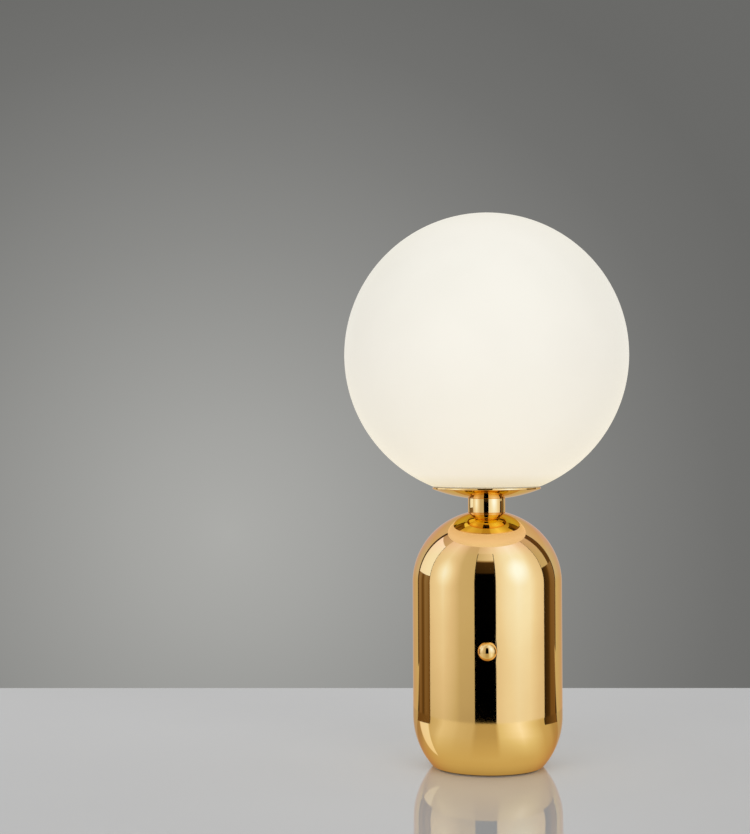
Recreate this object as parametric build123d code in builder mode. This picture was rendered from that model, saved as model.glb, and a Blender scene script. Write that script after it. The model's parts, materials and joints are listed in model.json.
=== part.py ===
from build123d import *
from math import asin, cos, degrees, pi, radians, sin, sqrt, tan
import os

os.makedirs("parts", exist_ok=True)

# Globe table lamp. Millimetres, +Z up, front (push button) towards -Y.
# The origin is on the table, under the middle of the foot.

# Globe
GLOBE_DIAMETER = 250.0
GLOBE_WALL = 3.0
GLOBE_EDGE_DIAMETER = 95.5
GLOBE_EDGE_WIDTH = 6.75

# Base shell
BASE_DIAMETER = 131.0
BASE_STRAIGHT = 116.4
BASE_WALL = 2.5
DOME_RISE = 63.3
FOOT_CURVE_DROP = 65.5
FOOT_DIAMETER = 97.2
FOOT_RIM_WALL = 2.6
FOOT_LEDGE = 3.0
FOOT_EDGE_RADIUS = 1.0

# Foot: felt pad, bottom plate, ballast
PAD_THICKNESS = 1.5
PAD_STANDOFF = 1.0
PAD_MARGIN = 2.0
PLATE_THICKNESS = 2.5
PLATE_CLEARANCE = 0.2
WELL_DIAMETER = 30.0
BALLAST_HEIGHT = 36.0
BALLAST_CLEARANCE = 1.0
BALLAST_CHAMFER = 1.5
BALLAST_SCREW_DIAMETER = 4.0
BALLAST_SCREW_LENGTH = 14.0
BALLAST_SCREW_COUNT = 3
SCREW_HEAD_ANGLE = 90.0

# Neck, dish and seat of the globe
NECK_DIAMETER = 32.7
NECK_HEIGHT = 12.6
NECK_WALL = 4.0
NECK_EDGE_BREAK = 0.3
SEAT_MARGIN = 0.15
CUP_DEPTH = 8.1
CUP_BAND = 1.4
CUP_WALL = 1.5
CUP_LIP = 1.3
GLOBE_OVERHANG = 0.1
SEAT_PLATE_THICKNESS = 1.2
GASKET_THICKNESS = 1.0
GASKET_INSET = 1.0
CLIP_THICKNESS = 0.5
CLIP_WIDTH = 9.0
CLIP_FOOT = 13.0
CLIP_RISE = 11.0
CLIP_LEAN = 2.4
CLIP_BEND = 1.6
CLIP_GAP = 0.4
CLIP_COUNT = 3
RIVET_DIAMETER = 3.0
RIVET_HEAD = 1.0

# Tie rod, nuts and washers
ROD_DIAMETER = 10.0
ROD_BORE = 7.0
ROD_END_GAP = 1.5
ROD_END_PROUD = 1.0
ROD_SLOT_HEIGHT = 34.0
ROD_SLOT_ABOVE_BRACKET = 34.0
NUT_HEIGHT = 3.0
NUT_FLATS_MARGIN = 4.0
WASHER_THICKNESS = 1.0
WASHER_MARGIN = 5.0
THREAD_CLEARANCE = 0.05
HOLE_CLEARANCE = 0.2

# Lampholder
HOLDER_DIAMETER = 40.0
HOLDER_CAP_HEIGHT = 20.0
HOLDER_SHOULDER = 11.0
HOLDER_SKIRT_HEIGHT = 32.0
HOLDER_WALL = 1.8
HOLDER_GAP = 0.3
HOLDER_BOSS_DEPTH = 9.0
HOLDER_BOSS_WALL = 3.0
CORE_FLANGE = 3.0
CORE_HEIGHT = 5.0
SCREW_SHELL_BORE = 27.0
SCREW_SHELL_WALL = 0.5
SCREW_SHELL_HEIGHT = 24.0
CONTACT_THICKNESS = 0.5
CONTACT_RISE = 3.4
CONTACT_WIDTH = 5.0
HOLDER_TERMINAL = 6.0
HOLDER_TERMINAL_SPACING = 18.0

# Bulb
BULB_LENGTH = 108.0
BULB_DIAMETER = 60.0
BULB_CAP_DIAMETER = 26.0
BULB_CAP_HEIGHT = 19.0
BULB_CAP_WALL = 0.6
BULB_TIP_HEIGHT = 1.5
BULB_TIP_DIAMETER = 9.0
BULB_INSULATOR_HEIGHT = 3.5
BULB_HOUSING_HEIGHT = 38.0
BULB_HOUSING_WALL = 2.0
BULB_DOME_WALL = 1.5
BULB_RIM_STEP = 1.2
BULB_GAP = 0.3
LED_BOARD_THICKNESS = 1.6
LED_COUNT = 8
LED_SIZE = 3.4
LED_HEIGHT = 0.7

# Push button and switch
BUTTON_HEIGHT = 108.9
BUTTON_DIAMETER = 16.0
BUTTON_TRAVEL = 3.0
BUTTON_SPARE = 0.5
BUTTON_CLEARANCE = 0.3
BUTTON_WALL = 1.4
BUTTON_BOSS_DIAMETER = 7.2
BUTTON_INSIDE = 2.0
PLUNGER_DIAMETER = 4.0
PLUNGER_GRIP = 5.0
PLUNGER_FIT = 0.05
PLUNGER_CLEARANCE = 0.2
SPRING_LENGTH = 10.0
SPRING_WIRE = 0.6
SPRING_DIAMETER = 5.8
SPRING_TURNS = 5
SPRING_END_GAP = 0.1
SWITCH_DEPTH = 14.0
SWITCH_SIDE = 16.0
SWITCH_BUSH_DIAMETER = 9.0
SWITCH_BUSH_LENGTH = 6.5
SWITCH_NUT_HEIGHT = 2.5
SWITCH_NUT_MARGIN = 4.0
SWITCH_TAB_LENGTH = 5.0
SWITCH_TAB_WIDTH = 4.0
SWITCH_TAB_THICKNESS = 0.8
SWITCH_TAB_SPACING = 8.0
BRACKET_THICKNESS = 2.0
BRACKET_GAP = 0.5
BRACKET_TAIL = 4.0
EARTH_TAG_THICKNESS = 0.8
EARTH_TAG_REACH = 12.0
EARTH_TAG_WIDTH = 5.0

# Cord inlet
GLAND_BORE = 6.8
GLAND_WALL = 1.5
GLAND_FLANGE = 1.6
GLAND_FLANGE_THICKNESS = 2.0
GLAND_INSIDE = 8.0
GLAND_ABOVE_CURVE = 7.0
GLAND_NUT_HEIGHT = 4.0
GLAND_NUT_MARGIN = 3.2

# Terminal block and inner wires
BLOCK_LENGTH = 26.0
BLOCK_DEPTH = 16.0
BLOCK_HEIGHT = 14.0
BLOCK_PITCH = 8.0
BLOCK_WAYS = 3
BLOCK_SCREW_DIAMETER = 3.0
BLOCK_SCREW_REACH = 6.0
BLOCK_HEAD_HEIGHT = 2.0
CLAMP_SCREW_DIAMETER = 3.6
CLAMP_SCREW_DEPTH = 3.6
CLAMP_SCREW_PROUD = 0.4
WIRE_DIAMETER = 2.2
WIRE_CLEARANCE = 0.15
WIRE_BEND = 2.5

# Radii
globe_r = GLOBE_DIAMETER / 2
globe_edge_r = GLOBE_EDGE_DIAMETER / 2
opening_r = globe_edge_r - GLOBE_EDGE_WIDTH
base_r = BASE_DIAMETER / 2
shell_r = base_r - BASE_WALL
foot_r = FOOT_DIAMETER / 2
rebate_r = foot_r - FOOT_RIM_WALL
plate_r = rebate_r - PLATE_CLEARANCE
foot_opening_r = rebate_r - FOOT_LEDGE
well_r = WELL_DIAMETER / 2
well_outer_r = well_r + PLATE_THICKNESS
ballast_r = foot_opening_r - BALLAST_CLEARANCE
ballast_bore_r = well_outer_r + HOLE_CLEARANCE
ballast_bolt_r = (ballast_r + ballast_bore_r) / 2
neck_r = NECK_DIAMETER / 2
seat_r = neck_r + SEAT_MARGIN
cup_r = globe_edge_r - GLOBE_OVERHANG
cup_lip_r = cup_r - CUP_LIP
seat_plate_r = cup_lip_r - PLATE_CLEARANCE
gasket_r = cup_r - GASKET_INSET
gasket_bore_r = opening_r + HOLE_CLEARANCE
clip_crown_r = opening_r - CLIP_GAP
clip_foot_r = clip_crown_r - CLIP_FOOT
rivet_r = RIVET_DIAMETER / 2
rivet_head_r = 2 * rivet_r - HOLE_CLEARANCE
rivet_circle_r = clip_foot_r + CLIP_WIDTH / 2
rod_r = ROD_DIAMETER / 2
rod_bore_r = ROD_BORE / 2
rod_hole_r = rod_r + HOLE_CLEARANCE
nut_bore_r = rod_r + THREAD_CLEARANCE
nut_flat_r = (ROD_DIAMETER + NUT_FLATS_MARGIN) / 2
washer_r = rod_r + WASHER_MARGIN
holder_r = HOLDER_DIAMETER / 2
holder_bore_r = holder_r - HOLDER_WALL
holder_step_r = holder_bore_r - HOLDER_WALL
holder_boss_r = nut_bore_r + HOLDER_BOSS_WALL
shell_bore_r = SCREW_SHELL_BORE / 2
screw_shell_r = shell_bore_r + SCREW_SHELL_WALL
core_r = holder_bore_r - HOLE_CLEARANCE
core_top_r = screw_shell_r + 2 * SCREW_SHELL_WALL
skirt_bore_r = core_top_r + 2 * HOLE_CLEARANCE
mouth_r = screw_shell_r + SCREW_SHELL_WALL
bulb_r = BULB_DIAMETER / 2
bulb_cap_r = BULB_CAP_DIAMETER / 2
bulb_tip_r = BULB_TIP_DIAMETER / 2
bulb_rim_r = bulb_r - BULB_RIM_STEP
button_r = BUTTON_DIAMETER / 2
button_hole_r = button_r + BUTTON_CLEARANCE
plunger_r = PLUNGER_DIAMETER / 2
plunger_bore_r = plunger_r + PLUNGER_CLEARANCE
bush_r = SWITCH_BUSH_DIAMETER / 2
gland_bore_r = GLAND_BORE / 2
gland_r = gland_bore_r + GLAND_WALL
gland_flange_r = gland_r + GLAND_FLANGE
wire_r = WIRE_DIAMETER / 2
ballast_screw_r = BALLAST_SCREW_DIAMETER / 2
ballast_head_r = BALLAST_SCREW_DIAMETER

# Levels, from the table upwards
foot_z = PAD_STANDOFF
plate_z = PAD_THICKNESS
plate_top_z = plate_z + PLATE_THICKNESS
ledge_top_z = plate_top_z + FOOT_LEDGE
ballast_top_z = plate_top_z + BALLAST_HEIGHT
bottom_nut_z = ROD_END_GAP + ROD_END_PROUD
bottom_washer_z = bottom_nut_z + NUT_HEIGHT
well_roof_z = bottom_washer_z + WASHER_THICKNESS
well_top_z = well_roof_z + PLATE_THICKNESS
lower_equator_z = foot_z + FOOT_CURVE_DROP * sqrt(1 - (foot_r / base_r) ** 2)
upper_equator_z = lower_equator_z + BASE_STRAIGHT
dome_seat_z = upper_equator_z + DOME_RISE * sqrt(1 - (seat_r / base_r) ** 2)
dome_roof_z = dome_seat_z - BASE_WALL
dome_washer_z = dome_roof_z - WASHER_THICKNESS
dome_nut_z = dome_washer_z - NUT_HEIGHT
neck_top_z = dome_seat_z + NECK_HEIGHT
cup_floor_z = neck_top_z + CUP_WALL
cup_nut_z = cup_floor_z + WASHER_THICKNESS
cup_band_z = neck_top_z + CUP_DEPTH
cup_rim_z = cup_band_z + CUP_BAND
seat_plate_z = cup_rim_z - SEAT_PLATE_THICKNESS
seat_nut_z = cup_rim_z + WASHER_THICKNESS
globe_edge_z = cup_rim_z + GASKET_THICKNESS
globe_z = globe_edge_z + sqrt(globe_r ** 2 - globe_edge_r ** 2)
holder_z = seat_nut_z + NUT_HEIGHT + HOLDER_GAP
rod_top_z = holder_z + HOLDER_BOSS_DEPTH
holder_cap_top_z = holder_z + HOLDER_CAP_HEIGHT
core_z = holder_cap_top_z - CORE_FLANGE
core_top_z = holder_cap_top_z + CORE_HEIGHT
holder_top_z = holder_cap_top_z + HOLDER_SKIRT_HEIGHT
bulb_tip_z = core_top_z + CONTACT_RISE + CONTACT_THICKNESS + BULB_GAP
bulb_insulator_z = bulb_tip_z + BULB_TIP_HEIGHT
bulb_cap_z = bulb_insulator_z + BULB_INSULATOR_HEIGHT
bulb_housing_z = bulb_cap_z + BULB_CAP_HEIGHT
bulb_rim_z = bulb_housing_z + BULB_HOUSING_HEIGHT
bulb_top_z = bulb_tip_z + BULB_LENGTH
bulb_centre_z = bulb_top_z - bulb_r
led_board_z = bulb_rim_z - LED_BOARD_THICKNESS
button_z = BUTTON_HEIGHT
bracket_top_z = button_z - SWITCH_SIDE / 2 - BRACKET_GAP
bracket_z = bracket_top_z - BRACKET_THICKNESS
bracket_nut_z = bracket_top_z + EARTH_TAG_THICKNESS
slot_z = bracket_top_z + ROD_SLOT_ABOVE_BRACKET
gland_z = lower_equator_z + GLAND_ABOVE_CURVE
block_top_z = ballast_top_z + BLOCK_HEIGHT

# Depths of the button and switch, as distances in front of the lamp's axis
button_proud = BUTTON_TRAVEL + BUTTON_SPARE
dome_y = base_r + button_proud
button_end_y = shell_r - BUTTON_INSIDE
bush_front_y = button_end_y - SPRING_LENGTH
bracket_front_y = bush_front_y - SWITCH_BUSH_LENGTH
switch_front_y = bracket_front_y - BRACKET_THICKNESS
switch_rear_y = switch_front_y - SWITCH_DEPTH
plunger_end_y = switch_front_y - BUTTON_TRAVEL
plunger_tip_y = button_end_y + PLUNGER_GRIP
plunger_pocket_y = plunger_end_y - BUTTON_TRAVEL - BUTTON_SPARE
block_front_y = ballast_bore_r + HOLE_CLEARANCE
block_middle_y = block_front_y + BLOCK_DEPTH / 2


def save(builder, name):
    builder.part.label = name
    export_step(builder.part, f"parts/{name}.step")


def turn(*profile):
    # Turns an outline of (radius, height) points about the lamp's axis.
    with BuildSketch(Plane.XZ) as section:
        with BuildLine():
            Polyline(*profile, close=True)
        make_face()
    revolve(section.sketch, axis=Axis.Z)


def turn_ring(bore_radius, radius, bottom, height):
    top = bottom + height
    turn((bore_radius, bottom), (radius, bottom), (radius, top), (bore_radius, top))


def ellipse_radius(radius, rise, height):
    # Radius of an upright half ellipse at a height above its middle.
    return radius * sqrt(1 - (height / rise) ** 2)


def curve_above(middle_z, radius, rise, top_z):
    # Arc of an upright ellipse from a level above its middle down to its widest place.
    swept = degrees(asin((top_z - middle_z) / rise))
    EllipticalCenterArc((0, middle_z), radius, rise, swept, arc_size=-swept)


def curve_below(middle_z, radius, drop, bottom_z):
    # Arc of an upright ellipse from its widest place down to a level.
    swept = degrees(asin((middle_z - bottom_z) / drop))
    EllipticalCenterArc((0, middle_z), radius, drop, 0, arc_size=-swept)


def run_wire(*route):
    # An insulated wire along straight runs joined by arcs.
    with BuildLine() as path:
        FilletPolyline(*route, radius=WIRE_BEND)
    with BuildSketch(Plane(origin=path.line @ 0, z_dir=path.line % 0)) as section:
        Circle(wire_r)
    sweep(section.sketch, path=path.line)


# Base shell: capsule with a flat land for the neck and a stepped foot for the bottom plate
inner_rise = DOME_RISE - BASE_WALL
inner_drop = FOOT_CURVE_DROP - BASE_WALL
roof_r = ellipse_radius(shell_r, inner_rise, dome_roof_z - upper_equator_z)
ledge_r = ellipse_radius(shell_r, inner_drop, lower_equator_z - ledge_top_z)
waist = cos(pi / 4)
with BuildPart() as base_shell:
    with BuildSketch(Plane.XZ):
        with BuildLine():
            curve_below(lower_equator_z, base_r, FOOT_CURVE_DROP, foot_z)
            Line((base_r, lower_equator_z), (base_r, upper_equator_z))
            curve_above(upper_equator_z, base_r, DOME_RISE, dome_seat_z)
            Polyline(
                (seat_r, dome_seat_z),
                (rod_hole_r, dome_seat_z),
                (rod_hole_r, dome_roof_z),
                (roof_r, dome_roof_z),
            )
            curve_above(upper_equator_z, shell_r, inner_rise, dome_roof_z)
            Line((shell_r, upper_equator_z), (shell_r, lower_equator_z))
            curve_below(lower_equator_z, shell_r, inner_drop, ledge_top_z)
            Polyline(
                (ledge_r, ledge_top_z),
                (foot_opening_r, ledge_top_z),
                (foot_opening_r, plate_top_z),
                (rebate_r, plate_top_z),
                (rebate_r, foot_z),
                (foot_r, foot_z),
            )
        make_face()
    revolve(axis=Axis.Z)
    with BuildSketch(Plane.XZ):
        with Locations((0, button_z)):
            Circle(button_hole_r)
    extrude(amount=dome_y, mode=Mode.SUBTRACT)
    with BuildSketch(Plane.XZ):
        with Locations((0, gland_z)):
            Circle(gland_r + HOLE_CLEARANCE)
    extrude(amount=-dome_y, mode=Mode.SUBTRACT)
    foot_edges = base_shell.edges().filter_by(GeomType.CIRCLE).group_by(Axis.Z)[0]
    fillet(foot_edges.sort_by(SortBy.RADIUS)[-1], min(FOOT_EDGE_RADIUS, FOOT_RIM_WALL / 3))
save(base_shell, "base_shell")

# Bottom plate: a pressed disc whose middle stands up over the lower nut
with BuildPart() as base_plate:
    turn(
        (plate_r, plate_z),
        (plate_r, plate_top_z),
        (well_outer_r, plate_top_z),
        (well_outer_r, well_top_z),
        (rod_hole_r, well_top_z),
        (rod_hole_r, well_roof_z),
        (well_r, well_roof_z),
        (well_r, plate_z),
    )
    with Locations(Plane(origin=(0, 0, plate_z), z_dir=(0, 0, -1))):
        with PolarLocations(ballast_bolt_r, BALLAST_SCREW_COUNT):
            CounterSinkHole(
                ballast_screw_r + HOLE_CLEARANCE,
                ballast_head_r + HOLE_CLEARANCE,
                depth=PLATE_THICKNESS,
                counter_sink_angle=SCREW_HEAD_ANGLE,
            )
save(base_plate, "base_plate")

# Felt pad under the bottom plate
with BuildPart() as felt_pad:
    turn_ring(well_r + PAD_MARGIN, plate_r - PAD_MARGIN, 0, PAD_THICKNESS)
save(felt_pad, "felt_pad")

# Cast ballast ring standing on the bottom plate
with BuildPart() as ballast:
    turn_ring(ballast_bore_r, ballast_r, plate_top_z, BALLAST_HEIGHT)
    chamfer(ballast.faces().sort_by(Axis.Z)[-1].edges(), BALLAST_CHAMFER)
    with Locations(Plane(origin=(0, 0, plate_top_z), z_dir=(0, 0, -1))):
        with PolarLocations(ballast_bolt_r, BALLAST_SCREW_COUNT):
            Hole(ballast_screw_r + THREAD_CLEARANCE, depth=BALLAST_SCREW_LENGTH)
    with Locations(Plane.XY.offset(ballast_top_z)):
        with Locations((-BLOCK_PITCH / 2, block_middle_y), (BLOCK_PITCH / 2, block_middle_y)):
            Hole(BLOCK_SCREW_DIAMETER / 2 + THREAD_CLEARANCE, depth=BLOCK_SCREW_REACH + HOLE_CLEARANCE)
save(ballast, "ballast_weight")

# Countersunk screws that hold the ballast to the plate
with BuildPart() as ballast_screw:
    head_height = (ballast_head_r - ballast_screw_r) / tan(radians(SCREW_HEAD_ANGLE / 2))
    head_end = plate_z + head_height
    with BuildSketch(Plane.XZ):
        with BuildLine():
            Polyline(
                (0, plate_z),
                (ballast_head_r, plate_z),
                (ballast_screw_r, head_end),
                (ballast_screw_r, plate_z + BALLAST_SCREW_LENGTH),
                (0, plate_z + BALLAST_SCREW_LENGTH),
                close=True,
            )
        make_face()
    revolve(axis=Axis.Z)
with BuildPart() as ballast_screws:
    with Locations(Plane(origin=(0, 0, 0), z_dir=(0, 0, -1))):
        with PolarLocations(ballast_bolt_r, BALLAST_SCREW_COUNT):
            add(ballast_screw.part.mirror(Plane.XY))
save(ballast_screws, "ballast_screws")

# Hollow tie rod with a slot where the wires enter it
with BuildPart() as tie_rod:
    turn_ring(rod_bore_r, rod_r, ROD_END_GAP, rod_top_z - ROD_END_GAP)
    slot_width = 2 * WIRE_DIAMETER + 4 * WIRE_CLEARANCE
    with BuildSketch(Plane.XZ):
        with Locations((0, slot_z + ROD_SLOT_HEIGHT / 2)):
            SlotOverall(ROD_SLOT_HEIGHT, slot_width, rotation=90)
    extrude(amount=-ROD_DIAMETER, mode=Mode.SUBTRACT)
save(tie_rod, "tie_rod")

# Six equal nuts on the tie rod, and the washers under them
nut_levels = (bottom_nut_z, bracket_z - NUT_HEIGHT, bracket_nut_z, dome_nut_z, cup_nut_z, seat_nut_z)
with BuildPart() as rod_nuts:
    for level in nut_levels:
        with BuildSketch(Plane.XY.offset(level)):
            RegularPolygon(nut_flat_r, 6, major_radius=False)
            Circle(nut_bore_r, mode=Mode.SUBTRACT)
        extrude(amount=NUT_HEIGHT)
save(rod_nuts, "rod_nuts")

with BuildPart() as rod_washers:
    for level in (bottom_washer_z, dome_washer_z, cup_floor_z, cup_rim_z):
        with BuildSketch(Plane.XY.offset(level)):
            Circle(washer_r)
            Circle(rod_hole_r, mode=Mode.SUBTRACT)
        extrude(amount=WASHER_THICKNESS)
save(rod_washers, "rod_washers")

# Neck: a turned collar, hollow from below
with BuildPart() as neck:
    turn(
        (neck_r - NECK_WALL, dome_seat_z),
        (neck_r - NECK_EDGE_BREAK, dome_seat_z),
        (neck_r, dome_seat_z + NECK_EDGE_BREAK),
        (neck_r, neck_top_z - NECK_EDGE_BREAK),
        (neck_r - NECK_EDGE_BREAK, neck_top_z),
        (rod_hole_r, neck_top_z),
        (rod_hole_r, neck_top_z - NECK_WALL),
        (neck_r - NECK_WALL, neck_top_z - NECK_WALL),
    )
save(neck, "neck_collar")

# Dish: a shallow spun cup with an upright band and a rebate for the seat plate
cup_sag = (cup_r ** 2 - seat_r ** 2 + CUP_DEPTH ** 2) / (2 * CUP_DEPTH)
cup_centre_z = neck_top_z + cup_sag
cup_outer_r = sqrt(seat_r ** 2 + cup_sag ** 2)
cup_inner_r = cup_outer_r - CUP_WALL
cup_floor_r = sqrt(cup_inner_r ** 2 - (cup_centre_z - cup_floor_z) ** 2)
cup_ledge_r = sqrt(cup_inner_r ** 2 - (cup_centre_z - seat_plate_z) ** 2)
with BuildPart() as globe_cup:
    with BuildSketch(Plane.XZ):
        with BuildLine():
            RadiusArc((seat_r, neck_top_z), (cup_r, cup_band_z), -cup_outer_r)
            Polyline(
                (cup_r, cup_band_z),
                (cup_r, cup_rim_z),
                (cup_lip_r, cup_rim_z),
                (cup_lip_r, seat_plate_z),
                (cup_ledge_r, seat_plate_z),
            )
            RadiusArc((cup_floor_r, cup_floor_z), (cup_ledge_r, seat_plate_z), -cup_inner_r)
            Polyline(
                (cup_floor_r, cup_floor_z),
                (rod_hole_r, cup_floor_z),
                (rod_hole_r, neck_top_z),
                (seat_r, neck_top_z),
            )
        make_face()
    revolve(axis=Axis.Z)
save(globe_cup, "globe_cup")

# Seat plate across the dish
with BuildPart() as seat_plate:
    turn_ring(rod_hole_r, seat_plate_r, seat_plate_z, SEAT_PLATE_THICKNESS)
    with Locations(Plane.XY.offset(cup_rim_z)):
        with PolarLocations(rivet_circle_r, CLIP_COUNT, start_angle=90):
            Hole(rivet_r + THREAD_CLEARANCE)
save(seat_plate, "seat_plate")

# Gasket that the ground edge of the glass stands on
with BuildPart() as gasket:
    turn_ring(gasket_bore_r, gasket_r, cup_rim_z, GASKET_THICKNESS)
save(gasket, "globe_gasket")

# Spring clips: riveted strips that bend up inside the globe's opening
with BuildPart() as clip:
    with BuildSketch(Plane.XZ):
        with BuildLine():
            bend_r = clip_crown_r - CLIP_BEND
            bend_z = cup_rim_z + CLIP_BEND
            inner_bend = CLIP_BEND - CLIP_THICKNESS
            Line((clip_foot_r, cup_rim_z), (bend_r, cup_rim_z))
            RadiusArc((bend_r, cup_rim_z), (clip_crown_r, bend_z), -CLIP_BEND)
            Polyline(
                (clip_crown_r, bend_z),
                (clip_crown_r - CLIP_LEAN, cup_rim_z + CLIP_RISE),
                (clip_crown_r - CLIP_LEAN - CLIP_THICKNESS, cup_rim_z + CLIP_RISE),
                (clip_crown_r - CLIP_THICKNESS, bend_z),
            )
            RadiusArc(
                (bend_r, cup_rim_z + CLIP_THICKNESS),
                (clip_crown_r - CLIP_THICKNESS, bend_z),
                -inner_bend,
            )
            Polyline(
                (bend_r, cup_rim_z + CLIP_THICKNESS),
                (clip_foot_r, cup_rim_z + CLIP_THICKNESS),
                (clip_foot_r, cup_rim_z),
            )
        make_face()
    extrude(amount=CLIP_WIDTH / 2, both=True)
    with Locations(Plane.XY.offset(cup_rim_z + CLIP_THICKNESS)):
        with Locations((rivet_circle_r, 0)):
            Hole(rivet_r + THREAD_CLEARANCE, depth=2 * CLIP_THICKNESS)
with BuildPart() as globe_clips:
    with PolarLocations(0, CLIP_COUNT, start_angle=90):
        add(clip.part)
save(globe_clips, "globe_clips")

with BuildPart() as clip_rivets:
    clip_top_z = cup_rim_z + CLIP_THICKNESS
    for level, radius, height in (
        (seat_plate_z - RIVET_HEAD, rivet_head_r, RIVET_HEAD),
        (seat_plate_z, rivet_r, clip_top_z - seat_plate_z),
        (clip_top_z, rivet_head_r, RIVET_HEAD),
    ):
        with BuildSketch(Plane.XY.offset(level)):
            with PolarLocations(rivet_circle_r, CLIP_COUNT, start_angle=90):
                Circle(radius)
        extrude(amount=height)
save(clip_rivets, "clip_rivets")

# Opal glass globe, cut off flat at its ground edge and bored to its opening
with BuildPart() as opal_globe:
    with BuildSketch(Plane.XZ):
        with Locations((0, globe_z)):
            Circle(globe_r)
            Circle(globe_r - GLOBE_WALL, mode=Mode.SUBTRACT)
        with Locations((-globe_r, globe_z)):
            Rectangle(GLOBE_DIAMETER, 2 * GLOBE_DIAMETER, mode=Mode.SUBTRACT)
    revolve(axis=Axis.Z)
    split(bisect_by=Plane.XY.offset(globe_edge_z), keep=Keep.TOP)
    with BuildSketch(Plane.XY.offset(globe_edge_z)):
        Circle(opening_r)
    extrude(amount=globe_r / 2, mode=Mode.SUBTRACT)
save(opal_globe, "opal_globe")

# Lampholder cap, screwed on the end of the tie rod
cone_wall = HOLDER_SHOULDER + HOLDER_WALL / 2
with BuildPart() as holder_cap:
    turn(
        (nut_bore_r, holder_z),
        (holder_boss_r, holder_z),
        (holder_r - HOLDER_WALL, holder_z + HOLDER_SHOULDER - HOLDER_WALL),
        (holder_r, holder_z + HOLDER_SHOULDER),
        (holder_r, holder_cap_top_z),
        (holder_bore_r, holder_cap_top_z),
        (holder_bore_r, core_z),
        (holder_step_r, core_z),
        (holder_step_r, holder_z + cone_wall),
        (holder_boss_r, holder_z + 2 * HOLDER_WALL),
        (holder_boss_r, rod_top_z),
        (nut_bore_r, rod_top_z),
    )
save(holder_cap, "holder_cap")

# Lampholder skirt with a lip round its mouth
with BuildPart() as holder_skirt:
    turn(
        (skirt_bore_r, holder_cap_top_z),
        (holder_r, holder_cap_top_z),
        (holder_r, holder_top_z),
        (mouth_r, holder_top_z),
        (mouth_r, holder_top_z - HOLDER_WALL),
        (skirt_bore_r, holder_top_z - HOLDER_WALL),
    )
save(holder_skirt, "holder_skirt")

# Ceramic core, trapped between cap and skirt
with BuildPart() as holder_core:
    turn(
        (0, core_z),
        (core_r, core_z),
        (core_r, holder_cap_top_z),
        (core_top_r, holder_cap_top_z),
        (core_top_r, core_top_z),
        (0, core_top_z),
    )
save(holder_core, "holder_core")

# Screw shell of the lampholder
with BuildPart() as screw_shell:
    turn_ring(shell_bore_r, screw_shell_r, core_top_z, SCREW_SHELL_HEIGHT)
save(screw_shell, "screw_shell")

# Centre contact: a bent strip on the core under the bulb's tip
with BuildPart() as centre_contact:
    foot_y = shell_bore_r - CONTACT_WIDTH / 2
    contact_z = core_top_z + CONTACT_RISE
    with BuildSketch(Plane.YZ):
        with BuildLine():
            Polyline(
                (foot_y, core_top_z),
                (foot_y, core_top_z + CONTACT_THICKNESS),
                (bulb_tip_r, core_top_z + CONTACT_THICKNESS),
                (bulb_tip_r / 2, contact_z + CONTACT_THICKNESS),
                (-bulb_tip_r, contact_z + CONTACT_THICKNESS),
                (-bulb_tip_r, contact_z),
                (bulb_tip_r / 2 - CONTACT_THICKNESS, contact_z),
                (bulb_tip_r - CONTACT_THICKNESS, core_top_z),
                close=True,
            )
        make_face()
    extrude(amount=CONTACT_WIDTH / 2, both=True)
save(centre_contact, "centre_contact")

# Terminals under the core
terminal_x = HOLDER_TERMINAL_SPACING / 2
with BuildPart() as holder_terminals:
    with BuildSketch(Plane.XY.offset(core_z)):
        with Locations((-terminal_x, 0), (terminal_x, 0)):
            Rectangle(HOLDER_TERMINAL, HOLDER_TERMINAL)
    extrude(amount=-HOLDER_TERMINAL / 2)
save(holder_terminals, "holder_terminals")

# Bulb, from its tip upwards
with BuildPart() as bulb_tip:
    turn(
        (0, bulb_tip_z),
        (bulb_tip_r - BULB_TIP_HEIGHT / 2, bulb_tip_z),
        (bulb_tip_r, bulb_insulator_z),
        (0, bulb_insulator_z),
    )
save(bulb_tip, "bulb_tip")

with BuildPart() as bulb_insulator:
    turn(
        (0, bulb_insulator_z),
        (bulb_tip_r + BULB_CAP_WALL, bulb_insulator_z),
        (bulb_cap_r - BULB_CAP_WALL, bulb_cap_z),
        (0, bulb_cap_z),
    )
save(bulb_insulator, "bulb_insulator")

with BuildPart() as bulb_cap:
    turn(
        (0, bulb_cap_z),
        (bulb_cap_r - BULB_CAP_WALL, bulb_cap_z),
        (bulb_cap_r, bulb_cap_z + BULB_CAP_WALL),
        (bulb_cap_r, bulb_housing_z),
        (bulb_cap_r - BULB_CAP_WALL, bulb_housing_z),
        (bulb_cap_r - BULB_CAP_WALL, bulb_cap_z + BULB_CAP_WALL),
        (0, bulb_cap_z + BULB_CAP_WALL),
    )
save(bulb_cap, "bulb_cap")

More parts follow.
